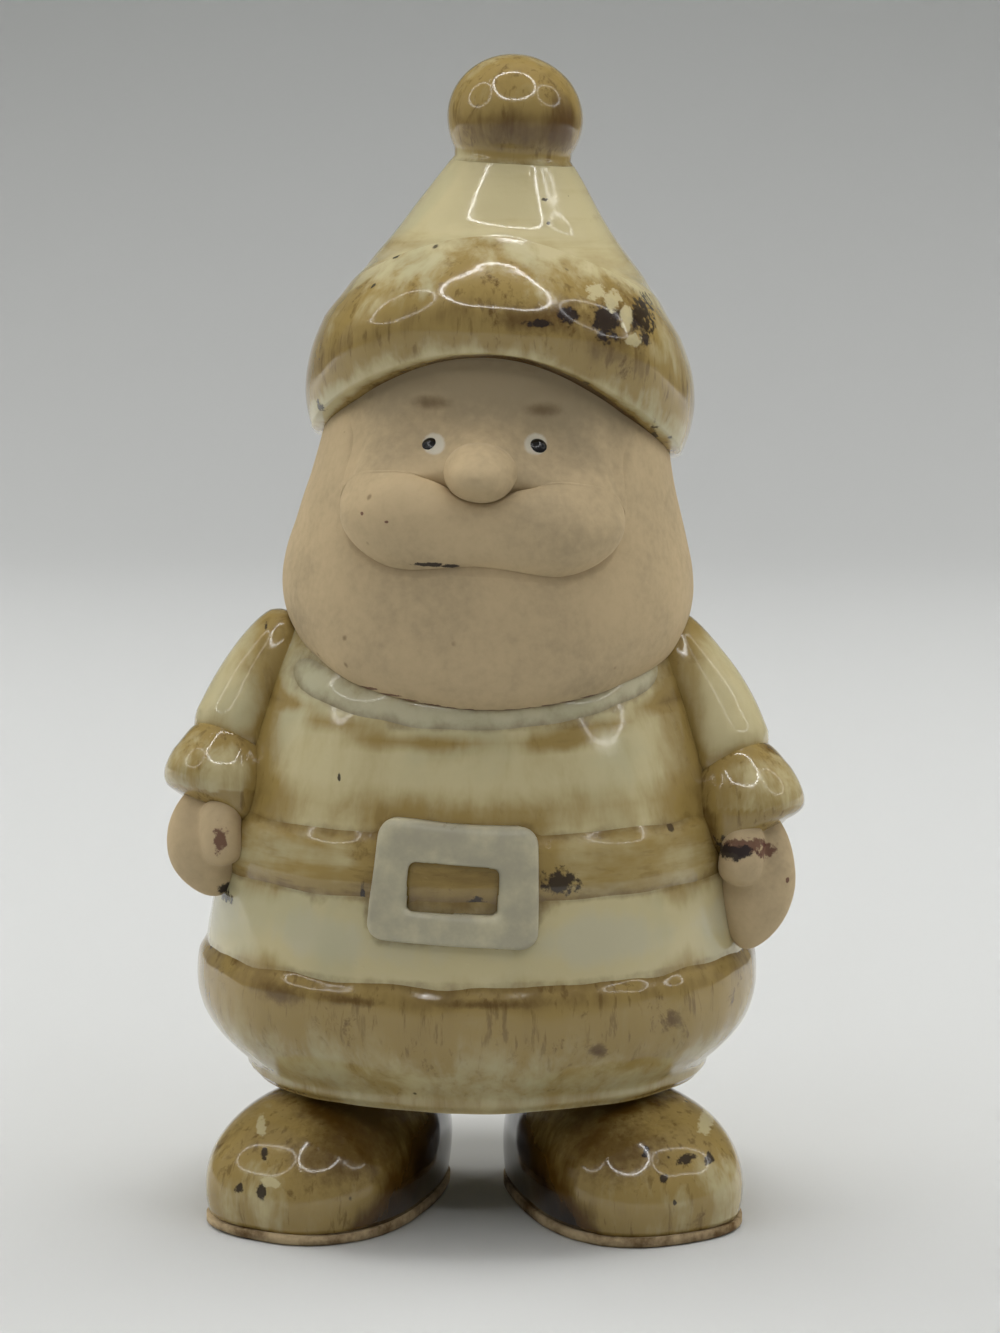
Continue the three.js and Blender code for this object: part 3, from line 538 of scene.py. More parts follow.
def glaze(name, streaks, strokes, specks, blotches, variety, marks=(), chips=(), shades=()):
    """Brushed wash under a clear glaze. The stain and shade on the vertices is -1 for pale glaze, 0 for
    ivory,
    1 for ochre, 2 for umber and 3 for soot; under the coat's collar and on the boots it is partly painted
    shade.
    Marks are burnt spots, chips pale ones and shades brown clouds, which over the boots' insteps are painted
    shade, each (across from the figure's axis, up, half width, half height) in mm."""
    if name in bpy.data.materials:
        return bpy.data.materials[name]
    tints = bpy.context.scene.santa_colours
    material, wires, shader, place = blank_material(name)
    cloud = wires.noise(place, 170.0, 4.0, 0.6)
    streak = placed(wires, streaks_group(), Vector=place, Stretch=streaks, Low=0.3, High=0.75)
    uneven = wires.math("ADD", wires.math("MULTIPLY", cloud, 1.5), wires.math("MULTIPLY", streak, 0.7))
    uneven = wires.math("MULTIPLY", wires.math("SUBTRACT", uneven, 1.05), variety)
    wash = wires.math("ADD", stored(wires, "stain_and_shade"), uneven)
    # Wash pooled in hollows, and painted shade where other pieces face the surface.
    hollow_shade_and_pool = pooled(wires, place, "hollow_shade_and_pool", 0.2, 1.1, 0.3)
    wash = wires.math("ADD", wash, wires.math("MULTIPLY", hollow_shade_and_pool, 0.65))
    tone = wires.mix(wires.ramp(wash, 0.0, 0.95), tints.ivory[:], tints.ochre[:])
    tone = wires.mix(wires.ramp(wash, 1.0, 2.2), tone, tints.umber[:])
    tone = wires.mix(wires.ramp(wash, 2.2, 3.4), tone, tints.soot[:])
    tone = wires.mix(wires.ramp(wires.math("MULTIPLY", wash, -1.0), 0.1, 0.8), tone, tints.pale[:])
    green = wires.ramp(wires.noise(place, 95.0, 3.0, 0.5, 0.4), 0.46, 0.66)
    thin = wires.math("SUBTRACT", 1.0, wires.ramp(wash, 0.2, 0.9))
    tone = wires.mix(wires.math("MULTIPLY", wires.math("MULTIPLY", green, thin), 0.5), tone, tints.celadon[:])
    tone = marked(wires, place, tone, tints.umber, shades, raggedness=1.2, strength=0.8, full=0.1)
    stroke = placed(wires, streaks_group(), Vector=place, Stretch=strokes, Low=0.54, High=0.68)
    blotch = wires.ramp(wires.noise(place, 240.0, 6.0, 0.72, 0.5), 0.58, 0.7)
    dark = wires.math("MAXIMUM", wires.math("MULTIPLY", stroke, 0.6), blotch)
    dark = wires.math("MULTIPLY", wires.math("MULTIPLY", dark, wires.ramp(wash, 0.3, 1.1)), blotches)
    tone = wires.mix(dark, tone, tints.umber[:])
    speck = placed(wires, specks_group(), Vector=place, Scale=620.0, Amount=specks, Size=0.3)
    tone = wires.mix(wires.math("MULTIPLY", speck, 0.8), tone, tints.soot[:])
    crack = pooled(wires, place, "crease", 0.62, 1.2, 0.6)
    tone = wires.mix(wires.math("MULTIPLY", crack, 0.7), tone, tints.umber[:])
    tone = marked(wires, place, tone, tints.soot, marks, raggedness=2.4, strength=0.9, full=0.65)
    tone = marked(wires, place, tone, tints.ivory, chips, raggedness=1.9, strength=0.8)
    wires.tree.links.new(tone, shader.inputs["Base Color"])
    satin = wires.noise(place, 900.0, 3.0)
    wires.tree.links.new(wires.between(satin, 0.06, 0.2), shader.inputs["Roughness"])
    ripple = wires.noise(place, 380.0, 4.0, 0.5)
    pit = placed(wires, specks_group(), Vector=place, Scale=1500.0, Amount=0.3, Size=0.5)
    pit = wires.math("MULTIPLY", pit, wires.math("ADD", wires.math("MULTIPLY", hollow_shade_and_pool, 1.5), 0.2))
    height = wires.math("SUBTRACT", ripple, wires.math("MULTIPLY", pit, 0.5))
    relief = wires.add("ShaderNodeBump", {"Height": height, "Strength": 0.13, "Distance": 0.0003})
    wires.tree.links.new(relief.outputs[0], shader.inputs["Normal"])
    shader.inputs["Coat Weight"].default_value = 0.3
    shader.inputs["Coat Roughness"].default_value = 0.04
    return material


def bisque(name="speckled_bisque", eyes=(), brows=(), marks=(), painted_shade_spots=()):
    """Unglazed clay, mottled, with fine brown specks. A value kept on the vertices greys it; on the head it
    is painted shade under the hat's brim.
    """
    if name in bpy.data.materials:
        return bpy.data.materials[name]
    tints = bpy.context.scene.santa_colours
    material, wires, shader, place = blank_material(name)
    cloud = wires.noise(place, 120.0, 4.0, 0.6)
    grain = wires.noise(place, 1500.0, 3.0, 0.6)
    blend = wires.math("ADD", wires.math("MULTIPLY", cloud, 0.8), wires.math("MULTIPLY", grain, 0.3))
    blend = wires.math("ADD", blend, wires.math("MULTIPLY", stored(wires, "stain_and_shade"), 0.4))
    tone = wires.mix(wires.ramp(blend, 0.4, 0.95), tints.bisque[:], tints.bisque_shade[:])
    speck = placed(wires, specks_group(), Vector=place, Scale=480.0, Amount=0.25, Size=0.17)
    tone = wires.mix(wires.math("MULTIPLY", speck, 0.55), tone, tints.umber[:])
    crack = pooled(wires, place, "crease", 0.6, 1.1, 0.04)
    tone = wires.mix(wires.math("MULTIPLY", crack, 0.15), tone, tints.umber[:])
    tone = marked(wires, place, tone, tints.umber, brows, raggedness=0.6, strength=0.6, full=0.2)
    tone = marked(wires, place, tone, tints.eye_white, eyes, raggedness=0.3, strength=0.9)
    tone = marked(wires, place, tone, tints.remnant, marks, raggedness=1.8, strength=0.8)
    # Soot spots here are painted shade in partings and clefts.
    tone = marked(wires, place, tone, tints.soot, painted_shade_spots, raggedness=1.8, strength=0.95)
    wires.tree.links.new(tone, shader.inputs["Base Color"])
    wires.tree.links.new(wires.between(grain, 0.6, 0.82), shader.inputs["Roughness"])
    relief = wires.add("ShaderNodeBump", {"Height": grain, "Strength": 0.2, "Distance": 0.0001})
    wires.tree.links.new(relief.outputs[0], shader.inputs["Normal"])
    return material


def buckle_paint():
    """Matte grey-white underglaze, brushed thinly at its edges."""
    tints = bpy.context.scene.santa_colours
    material, wires, shader, place = blank_material("buckle_underglaze")
    cloud = wires.noise(place, 420.0, 4.0, 0.6)
    tone = wires.mix(wires.ramp(cloud, 0.35, 0.8), tints.buckle[:], tints.pale[:])
    edge = pooled(wires, place, "crease", 0.5, 1.2, 0.7)
    tone = wires.mix(wires.math("MULTIPLY", edge, 0.5), tone, tints.ochre[:])
    wires.tree.links.new(tone, shader.inputs["Base Color"])
    wires.tree.links.new(wires.between(cloud, 0.22, 0.4), shader.inputs["Roughness"])
    return material


def enamel():
    """Glossy black enamel of the eye dots."""
    name = "black_enamel_dot"
    if name in bpy.data.materials:
        return bpy.data.materials[name]
    material, wires, shader, place = blank_material(name)
    cloud = wires.noise(place, 900.0, 2.0)
    tone = wires.mix(cloud, linear(6, 5, 5), linear(18, 14, 12))
    wires.tree.links.new(tone, shader.inputs["Base Color"])
    shader.inputs["Roughness"].default_value = 0.2
    return material


def bare_clay():
    """Bare fired clay of the soles, pale with scorched edges."""
    name = "bare_sole_clay"
    if name in bpy.data.materials:
        return bpy.data.materials[name]
    tints = bpy.context.scene.santa_colours
    material, wires, shader, place = blank_material(name)
    cloud = wires.noise(place, 300.0, 5.0, 0.65)
    tone = wires.mix(wires.ramp(cloud, 0.35, 0.7), tints.bisque[:], tints.umber[:])
    wires.tree.links.new(tone, shader.inputs["Base Color"])
    shader.inputs["Roughness"].default_value = 0.8
    return material


def cream_glaze():
    return glaze(
        "ivory_clear_glaze",
        streaks=(380.0, 380.0, 70.0),
        strokes=(900.0, 900.0, 240.0),
        specks=0.03,
        blotches=0.4,
        variety=0.5,
        marks=(
            (-10.06, 35.5, 0.14, 0.35),
            (-15.7, 47.2, 0.6, 0.7),
            (-16.4, 45.5, 0.2, 0.6),
            (-19.4, 25.0, 0.9, 0.6),
        ),
    )


def brushed_glaze(name, marks=(), chips=(), shades=(), variety=1.0):
    """Ochre wash put on with short upright strokes."""
    streaks, strokes = (420.0, 420.0, 90.0), (1500.0, 1500.0, 260.0)
    specks, blotches = 0.1, 0.9
    return glaze(name, streaks, strokes, specks, blotches, variety, marks, chips, shades)


def hem_glaze():
    shades = ((-14.5, 19.0, 2.4, 1.1), (-9.0, 19.3, 3.0, 0.5), (1.5, 19.4, 5.5, 0.45), (9.5, 15.5, 0.8, 0.7))
    return brushed_glaze("hem_glaze", shades=shades, variety=0.6)


def belt_glaze():
    """Ochre wash put on with strokes that run round the belt."""
    return glaze(
        "belt_glaze",
        streaks=(90.0, 90.0, 500.0),
        strokes=(300.0, 300.0, 1500.0),
        specks=0.06,
        blotches=0.5,
        variety=0.7,
        marks=((6.64, 28.2, 1.5, 1.0), (0.48, 26.7, 0.7, 0.6), (-8.1, 26.9, 0.22, 1.5)),
    )


def boot_glaze():
    marks = (
        (-17.8, 3.9, 0.35, 0.45),
        (-15.9, 6.4, 0.3, 0.5),
        (-16.0, 4.0, 0.4, 0.6),
        (16.3, 6.3, 0.8, 0.4),
        (14.6, 5.2, 0.3, 0.35),
        (18.1, 6.0, 0.35, 0.45),
        (15.4, 3.4, 0.2, 0.3),
        (13.2, 7.0, 0.3, 0.35),
    )
    chips = ((-16.3, 8.0, 0.45, 0.6), (-15.3, 4.7, 0.7, 0.4), (18.0, 8.0, 0.8, 0.6))
    # The two broad brown clouds over the insteps are painted shade and painted reflection of the coat's dark
    # underside.
    shades = ((-9.5, 7.0, 5.5, 3.4), (10.5, 7.2, 5.5, 3.0))
    return brushed_glaze("boot_glaze", marks, chips, shades)


def brim_glaze():
    marks = (
        (10.1, 69.8, 1.2, 1.7),
        (12.8, 69.9, 1.1, 2.2),
        (4.9, 69.7, 1.2, 0.3),
        (7.2, 70.2, 0.8, 0.7),
        (-11.9, 62.9, 0.6, 0.5),
        (13.7, 60.6, 0.4, 1.4),
    )
    chips = ((9.2, 71.9, 0.9, 0.7), (10.5, 71.3, 0.8, 0.9), (11.5, 70.0, 0.5, 1.1), (12.1, 68.3, 0.6, 0.6))
    shades = (
        (10.8, 70.2, 3.6, 3.9),
        (4.5, 70.0, 3.4, 1.4),
        (6.8, 70.4, 2.0, 1.8),
        (-13.5, 67.5, 1.8, 2.0),
    )
    return brushed_glaze("brim_glaze", marks, chips, shades)


def pompom_glaze():
    shades = ((2.9, 84.2, 1.4, 1.7), (6.4, 86.0, 0.8, 2.4), (-0.8, 84.0, 0.7, 1.4), (7.6, 83.6, 0.7, 2.0))
    return brushed_glaze("pompom_glaze", shades=shades)


# Coat


def coat_outline(sizes):
    return Outline(
        [
            (FLOOR, sizes.coat_rim_radius),
            (FLOOR + 5.6 * MM, sizes.coat_hip_radius),
            (FLOOR + 19.3 * MM, sizes.coat_waist_radius),
            (FLOOR + 32.8 * MM, sizes.coat_shoulder_radius),
            (NECK, sizes.coat_neck_radius),
        ]
    )


def coat_piece(sizes):
    outline = coat_outline(sizes)
    outer = [(radius, height) for height, radius in outline.points]
    inner = [(radius - WALL, height) for radius, height in outer if height > FLOOR + WALL]
    inner.insert(0, (outline.radius(FLOOR + WALL) - WALL, FLOOR + WALL))
    vent = [(VENT_RADIUS, FLOOR + WALL), (VENT_RADIUS, FLOOR)]
    section = [(VENT_RADIUS, FLOOR)] + outer + inner[::-1] + vent
    bm = spun(section, AROUND)
    bmesh.ops.scale(bm, vec=(1, COAT_DEPTH, 1), verts=bm.verts)

    def stain_and_shade(point):
        uneven = 1 + 0.8 * noise.noise(Vector((angle_of(point) * 3, 0, 9)))
        # A darker band just under the collar is a painted shadow of the collar, broken up along its length.
        painted_shadow_under_collar = uneven * bump(point.z - NECK - beard_edge(angle_of(point)) + 2.5 * MM, 1.0 * MM)
        beside_arms = bump(abs(point.x) - 16.2 * MM, 3.2 * MM) * (1 - smoothstep(point.z, 40 * MM, 46 * MM))
        above_belt = bump(point.z - BELT_MIDDLE - 4.0 * MM, 2.4 * MM)
        band = bump(point.z - FLOOR - 12.4 * MM, 3.2 * MM)
        return 0.1 + 0.75 * painted_shadow_under_collar + 0.7 * beside_arms + 0.4 * above_belt - 1.0 * band

    return finish("glazed_coat", bm, cream_glaze(), ["coat_body"], stain_and_shade)


def edge_fade(share, low, high):
    """1 along a band, falling to 0 over its edges' shares."""
    return smoothstep(share, 0, low) * (1 - smoothstep(share, 1 - high, 1))


def hem_piece(sizes):
    outline = coat_outline(sizes)
    low = FLOOR - 1.2 * MM
    high = low + sizes.hem_height
    tuck = 0.08 * MM

    def relief(share, angle):
        swell = math.sin(math.pi * clamp(0.12 + 0.8 * share)) ** 0.5
        strokes = noise.noise(Vector((angle * 22, share * 3, 4)))
        edge = noise.noise(Vector((angle * 9, 2, 7)))
        body = sizes.hem_relief * swell * (1 + 0.22 * edge)
        return (body + 0.05 * MM * strokes) * edge_fade(share, 0.06, 0.16) - tuck

    def upper(angle):
        return high + 0.35 * MM * noise.noise(Vector((angle * 5, 1, 3)))

    def stain_and_shade(point):
        below = high - point.z
        return 0.95 - 0.42 * smoothstep(below, 3.5 * MM, 8 * MM) + 0.45 * bump(below - 1.4 * MM, 1.3 * MM)

    bm = wrapped_band(outline.around, lambda angle: low, upper, relief, depth=COAT_DEPTH, rows=44)
    return finish("fur_hem", bm, hem_glaze(), ["coat_hem"], stain_and_shade)


def belt_piece(sizes):
    outline = coat_outline(sizes)
    half = sizes.belt_height / 2

    def relief(share, angle):
        dents = noise.noise(Vector((angle * 5, share * 2, 1)))
        return sizes.belt_relief * (1 + 0.2 * dents) * edge_fade(share, 0.3, 0.3) - 0.06 * MM

    def edge(sign, seed):
        height = BELT_MIDDLE + sign * half
        return lambda angle: height + 0.2 * MM * noise.noise(Vector((angle * 4, seed, 0)))

    bm = wrapped_band(outline.around, edge(-1, 3), edge(1, 8), relief, depth=COAT_DEPTH, rows=28)
    return finish("glazed_belt", bm, belt_glaze(), ["belt"], lambda point: 0.72)


def beard_edge(angle):
    return -8.5 * MM + sweep(4 * MM, 1.6 * MM, angle)


def collar_piece(sizes):
    outline = coat_outline(sizes)
    show = 1.4 * MM

    def lower(angle):
        return NECK + beard_edge(angle) - show + 0.15 * MM * noise.noise(Vector((angle * 6, 5, 2)))

    def relief(share, angle):
        return sizes.collar_relief * math.sin(math.pi * share) - 0.05 * MM

    bm = wrapped_band(
        outline.around,
        lower,
        lambda angle: lower(angle) + sizes.collar_height,
        relief,
        depth=COAT_DEPTH,
        rows=16,
    )
    return finish("pale_collar", bm, cream_glaze(), ["collar"], lambda point: -0.9)


def round_rectangle(low, high, corner, steps):
    """Points at even spacing round a rectangle with round corners, from its lower right side up."""
    dense = []
    centres = (
        (high.x - corner, high.y - corner, 0),
        (low.x + corner, high.y - corner, 90),
        (low.x + corner, low.y + corner, 180),
        (high.x - corner, low.y + corner, 270),
    )
    dense.append(Vector((high.x, low.y + corner)))
    for x, y, start in centres:
        for part in range(13):
            turn = math.radians(start + 90 * part / 12)
            dense.append(Vector((x + corner * math.cos(turn), y + corner * math.sin(turn))))
    along = np.concatenate(([0.0], np.cumsum([(b - a).length for a, b in zip(dense, dense[1:])])))
    wanted = [along[-1] * step / steps for step in range(steps)]
    xs = np.interp(wanted, along, [point.x for point in dense])
    ys = np.interp(wanted, along, [point.y for point in dense])
    return [Vector((float(x), float(y))) for x, y in zip(xs, ys)]


def buckle_piece(sizes):
    outline = coat_outline(sizes)
    steps = 144
    side_bar, top_bar, bottom_bar = 2.8 * MM, 3.1 * MM, 2.4 * MM
    high = Vector((sizes.buckle_width / 2, sizes.buckle_height / 2))
    outer = round_rectangle(-high, high, 1.3 * MM, steps)
    window_low = -high + Vector((side_bar, bottom_bar))
    window_high = high - Vector((side_bar, top_bar))
    inner = round_rectangle(window_low, window_high, 0.5 * MM, steps)
    tilt = Matrix.Rotation(math.radians(-3), 2)
    middle = BELT_MIDDLE - 1.1 * MM
    offset = -1.2 * MM
    section = []
    for part in range(17):
        turn = math.pi * part / 16
        across = 0.5 + 0.5 * math.copysign(abs(math.cos(turn)) ** 0.45, math.cos(turn))
        section.append((MM * (1 + across), sizes.buckle_relief * math.sin(turn) ** 0.5))
    section.append(section[0])
    bm = spun(section, steps)
    for vert in bm.verts:
        step = round((angle_of(vert.co) % (2 * math.pi)) / (2 * math.pi) * steps) % steps
        across = math.hypot(vert.co.x, vert.co.y) / MM - 1
        flat = tilt @ inner[step].lerp(outer[step], across)
        height = middle + flat.y
        angle = (flat.x + offset) / sizes.coat_waist_radius
        radius = outline.radius(height) + vert.co.z
        vert.co = (radius * math.sin(angle), -radius * math.cos(angle) * COAT_DEPTH, height)
    bmesh.ops.recalc_face_normals(bm, faces=bm.faces)
    return finish("belt_frame_buckle", bm, buckle_paint(), ["belt_buckle"])


# Arms

ARMS = (
    {"name": "right", "side": -1, "drop": 0.0, "out": -0.4 * MM, "hand": 8.6 * MM, "cuff": 1.0},
    {"name": "left", "side": 1, "drop": 1.4 * MM, "out": 0.6 * MM, "hand": 11.2 * MM, "cuff": 1.35},
)
CUFF_LENGTH = 5.2 * MM


def arm_stations(sizes, arm):
    """The shoulder, elbow and wrist of an arm. They follow the coat's side."""
    outline = coat_outline(sizes)
    shoulder_height, elbow_height, wrist_height = 33.4 * MM, 28.6 * MM, 22.2 * MM
    shoulder = outline.radius(FLOOR + shoulder_height) - 3 * MM
    elbow = outline.radius(FLOOR + elbow_height) - 0.3 * MM + arm["out"] / 2
    wrist = outline.radius(FLOOR + wrist_height) + 1.4 * MM + arm["out"]
    return (
        Vector((arm["side"] * shoulder, 0, FLOOR + shoulder_height)),
        Vector((arm["side"] * elbow, -1.4 * MM, FLOOR + elbow_height - arm["drop"] / 2)),
        Vector((arm["side"] * wrist, -4.6 * MM, FLOOR + wrist_height - arm["drop"])),
    )


def sleeve_piece(sizes, arm):
    stations = arm_stations(sizes, arm)
    radii = [(0, 5.1 * MM), (0.5, sizes.sleeve_radius), (1, 4.1 * MM)]
    bm = limb(stations, radii, fullness=6)
    cuff_top = stations[2].z + CUFF_LENGTH / 2

    def stain_and_shade(point):
        inner = 1 - smoothstep(abs(point.x), 16 * MM, 19 * MM)
        return 0.12 + 0.45 * inner + 0.5 * (1 - smoothstep(point.z, cuff_top, cuff_top + 2.5 * MM))

    name = arm["name"] + "_glazed_sleeve"
    return finish(name, bm, cream_glaze(), [arm["name"] + "_sleeve"], stain_and_shade)


def cuff_piece(sizes, arm):
    _, elbow, wrist = arm_stations(sizes, arm)
    half = CUFF_LENGTH / 2
    along = (wrist - elbow).normalized()
    full = sizes.cuff_radius
    radii = [(0, full * 0.86), (0.4, full), (0.72, full * 0.99), (1, full * 0.84)]
    below = half * arm["cuff"]
    bm = limb((wrist - along * half * 1.25, wrist, wrist + along * below), radii, rows=36, fullness=9)
    for vert in bm.verts:
        low = 1 - smoothstep(vert.co.z, wrist.z - half, wrist.z)
        inward = arm["side"] * (wrist.x - vert.co.x) / full
        vert.co.z -= low * (0.9 * MM * inward + 0.5 * MM * noise.noise(vert.co * 380))
    name = arm["name"] + "_fur_cuff"
    marks = ((19.4, 29.6, 1.1, 0.7), (21.6, 29.5, 0.9, 0.5), (-19.6, 30.6, 0.4, 0.9))
    clay = brushed_glaze("cuff_glaze", marks)

    def stain_and_shade(point):
        return 1.05 if point.z < wrist.z else 0.55

    return finish(name, bm, clay, [arm["name"] + "_cuff"], stain_and_shade)


def hand_piece(sizes, arm):
    side = arm["side"]
    wrist = arm_stations(sizes, arm)[2]
    outward, forward = 1.1 * MM, 2.6 * MM
    reach = arm["hand"]
    stations = (
        wrist,
        wrist + Vector((side * outward, -forward / 2, -reach / 2)),
        wrist + Vector((0, -forward, -reach)),
    )
    palm = sizes.hand_radius
    radii = [(0, palm * 0.85), (0.55, palm), (1, palm * 0.62)]
    bm = limb(stations, radii, flatness=0.84, rows=30, steps=40, fullness=3)
    thumb_radius, thumb_length = 1.7 * MM, 5.0 * MM
    inner = wrist + Vector((side * (outward - palm + thumb_radius), -forward, -CUFF_LENGTH / 2))
    root = inner + Vector((0, 0, thumb_radius))
    thumb = limb(
        (
            root,
            root + Vector((0, -thumb_radius * 0.6, -thumb_length / 2)),
            root + Vector((-side * 0.5 * MM, -thumb_radius * 0.7, -thumb_length)),
        ),
        [(0, thumb_radius), (1, thumb_radius)],
        rows=16,
        steps=24,
    )
    extra = bpy.data.meshes.new("thumb")
    thumb.to_mesh(extra)
    thumb.free()
    bm.from_mesh(extra)
    bpy.data.meshes.remove(extra)
    name = arm["name"] + "_mitten_hand"
    gaps = ((20.8, 29.4, 2.6, 0.7), (22.6, 28.9, 0.9, 0.8), (-19.5, 29.9, 0.6, 1.2), (24.2, 26.4, 0.2, 0.25))
    # Soot spots under the cuff and where the thumb meets the hand are painted shade.
    painted_shade_spots = ((20.0, 29.0, 1.9, 0.7), (18.4, 24.3, 0.5, 1.9), (-19.3, 25.6, 0.8, 0.8))
    clay = bisque("hand_bisque", marks=gaps, painted_shade_spots=painted_shade_spots)
    piece = finish(name, bm, clay, [arm["name"] + "_hand"])
    fuse = piece.modifiers.new("one_clay", "REMESH")
    fuse.mode = "VOXEL"
    fuse.voxel_size = 0.2 * MM
    smooth = piece.modifiers.new("rubbed", "SMOOTH")
    smooth.factor = 0.5
    smooth.iterations = 8
    apply_modifiers(piece)
    return piece


def apply_modifiers(piece):
    """Keeps a piece's modified shape as its mesh."""
    evaluated = piece.evaluated_get(bpy.context.evaluated_depsgraph_get())
    mesh = bpy.data.meshes.new_from_object(evaluated)
    mesh.polygons.foreach_set("use_smooth", [True] * len(mesh.polygons))
    piece.modifiers.clear()
    piece.data = mesh


# Boots and legs


def boot_plan(sizes, point, grow=0.0):
    """Bends a round solid of radius 1 to the plan of a boot."""
    squareness = 2.5
    flare = 1 - 0.3 * point.y
    plan = math.hypot(point.x, point.y)
    square = (abs(point.x) ** squareness + abs(point.y) ** squareness) ** (1 / squareness)
    fuller = plan / square if plan else 1
    rise = clamp(point.z / sizes.boot_height)
    return Vector(
        (
            point.x * (sizes.boot_width / 2 + grow) * flare * fuller,
            point.y * (sizes.boot_length / 2 + grow) * fuller + 2 * MM * rise**2,
            point.z,
        )
    )


def boot_pieces(sizes, name, side):
    apart, forward, splay = 10.5 * MM, 5.6 * MM, math.radians(28)
    place = Matrix.Translation((side * apart, -forward, SOLE_TOP))
    place = place @ Matrix.Rotation(side * splay, 4, "Z")
    rows = 40
    tuck = 0.05
    points = [(0, 0)]
    for row in range(rows + 1):
        rise = math.sin(math.pi / 2 * row / rows)
        radius = max(1 - rise**3, 0) ** 0.5 * (1 - tuck * (1 - rise) ** 4)
        points.append((radius, rise * sizes.boot_height))
    boot = spun(points, AROUND // 2)
    for vert in boot.verts:
        vert.co = boot_plan(sizes, vert.co)
    bmesh.ops.recalc_face_normals(boot, faces=boot.faces)
    bmesh.ops.transform(boot, matrix=place, verts=boot.verts)

    def stain_and_shade(point):
        # Painted shade and painted reflection of the coat's dark underside: darker higher up and towards the
        # middle, darkest on the inner sides that face the other boot.
        inner = 1 - smoothstep(abs(point.x), 6 * MM, 16 * MM)
        shaded = 10.5 * MM - point.z
        painted_shadow_between_boots = 1 - smoothstep(abs(point.x), shaded - 2.5 * MM, shaded + 1.5 * MM)
        return 0.7 + 0.4 * smoothstep(point.z, 3 * MM, 9 * MM) + 0.7 * inner + 1.6 * painted_shadow_between_boots

    finish(name + "_glazed_boot", boot, boot_glaze(), [name + "_boot"], stain_and_shade)
    edge = 1 - tuck
    thick = SOLE_TOP
    section = [(0, -thick), (edge - 0.02, -thick), (edge, -thick * 0.8), (edge, -thick * 0.1), (0, 0.1 * MM)]
    sole = spun(section, AROUND // 2)
    for vert in sole.verts:
        vert.co = boot_plan(sizes, vert.co, 0.2 * MM)
    bmesh.ops.transform(sole, matrix=place, verts=sole.verts)
    finish(name + "_bare_sole", sole, bare_clay(), [name + "_sole"])


def leg_piece(sizes, name, side):
    low, high = SOLE_TOP + 5 * MM, FLOOR + 1.3 * MM
    radius, flare = 4.4 * MM, 0.3 * MM
    apart, forward = 8.2 * MM, 1.8 * MM
    rows = 8
    points = [(0, low)]
    for row in range(rows + 1):
        share = row / rows
        points.append((radius + flare * share**4, low + (high - low) * share))
    points.append((0, high))
    bm = spun(points, SMALL_AROUND)
    bmesh.ops.translate(bm, vec=(side * apart, -forward, 0), verts=bm.verts)
    finish(name + "_leg_peg", bm, cream_glaze(), [name + "_leg"], lambda point: 0.8)


# Head, in the frame of the bust

HEAD_TOP = 19.5 * MM


def head_outline():
    return Outline([(0.3 * MM, 11.2 * MM), (7.5 * MM, 12.8 * MM), (HEAD_TOP, 12.3 * MM)])


def face_relief(x, z):
    """How far the modelled face stands out of the head's round at a place on its front."""
    full = 1.3 * MM * smoothstep(11.4 * MM - abs(x), 0, 4 * MM) * (1 - smoothstep(z, 9 * MM, 16 * MM))
    cheeks = 1.9 * MM * bump(math.hypot((abs(x) - 6.2 * MM) / 1.15, z - 7.0 * MM), 4.6 * MM)
    sockets = -0.6 * MM * bump(math.hypot(abs(x) - 4.1 * MM, z - 12.4 * MM), 2.8 * MM)
    brows = 0.35 * MM * bump(math.hypot((abs(x) - 4.3 * MM) / 2, z - 14.9 * MM), 1.2 * MM)
    bridge = 1.9 * MM * bump(math.hypot(x / 1.1, (z - 10.2 * MM) / 1.3), 2.9 * MM)
    return full + cheeks + sockets + brows + bridge


def bust_mark(x, y, z):
    """Where a place on the bust stands across and up from the figure's axis, in mm."""
    point = bust_matrix() @ Vector((x * MM, y * MM, z * MM))
    return (point.x / MM, point.z / MM)


def head_piece(sizes):
    outline = head_outline()
    rows = 110
    low, high = outline.heights[0], outline.heights[-1]
    heights = [low + (high - low) * row / rows for row in range(rows + 1)]
    bm = spun([(0, low)] + [(outline.radius(height), height) for height in heights] + [(0, high)], AROUND)
    for vert in bm.verts:
        if math.hypot(vert.co.x, vert.co.y) > 5 * MM and vert.co.y < 0:
            out = Vector((vert.co.x, vert.co.y, 0)).normalized()
            vert.co += out * face_relief(vert.co.x, vert.co.z)
    whites, brows = [], []
    for side in (-1, 1):
        whites.append(bust_mark(side * 3.8, -12, eye_height(side) / MM + 0.35) + (0.95, 0.85))
        brows.append(bust_mark(side * 4.3, -12, 14.3) + (1.9, 0.75))
    marks = ((-7.4, 55.3, 0.3, 0.2), (-5.5, 55.0, 0.3, 0.25))
    clay = bisque("face_bisque", whites, brows, marks)

    def stain_and_shade(point):
        # Greyer from the eyes up: painted shade of the hat's brim on the forehead.
        return smoothstep(point.z, 11 * MM, 16 * MM)

    return finish("bisque_head", bm, clay, ["head"], stain_and_shade, bust=True)


BEARD_DEPTH = 1.03
BEARD_TUCK = 2.6 * MM
BEARD_AT_FACE = 15.3 * MM

# Soot-dark lines in the parting under the moustache, painted shade: across, up, half width and half height in
# mm
MOUTH = ((-3.2, 51.9, 1.4, 0.2), (-1.6, 51.8, 0.9, 0.14))


def beard_outline(sizes):
    return Outline(
        [
            (-8.5 * MM, sizes.beard_radius),
            (0, sizes.beard_radius - 0.5 * MM),
            (4 * MM, BEARD_AT_FACE),
            (11 * MM, 13.4 * MM),
        ]
    )


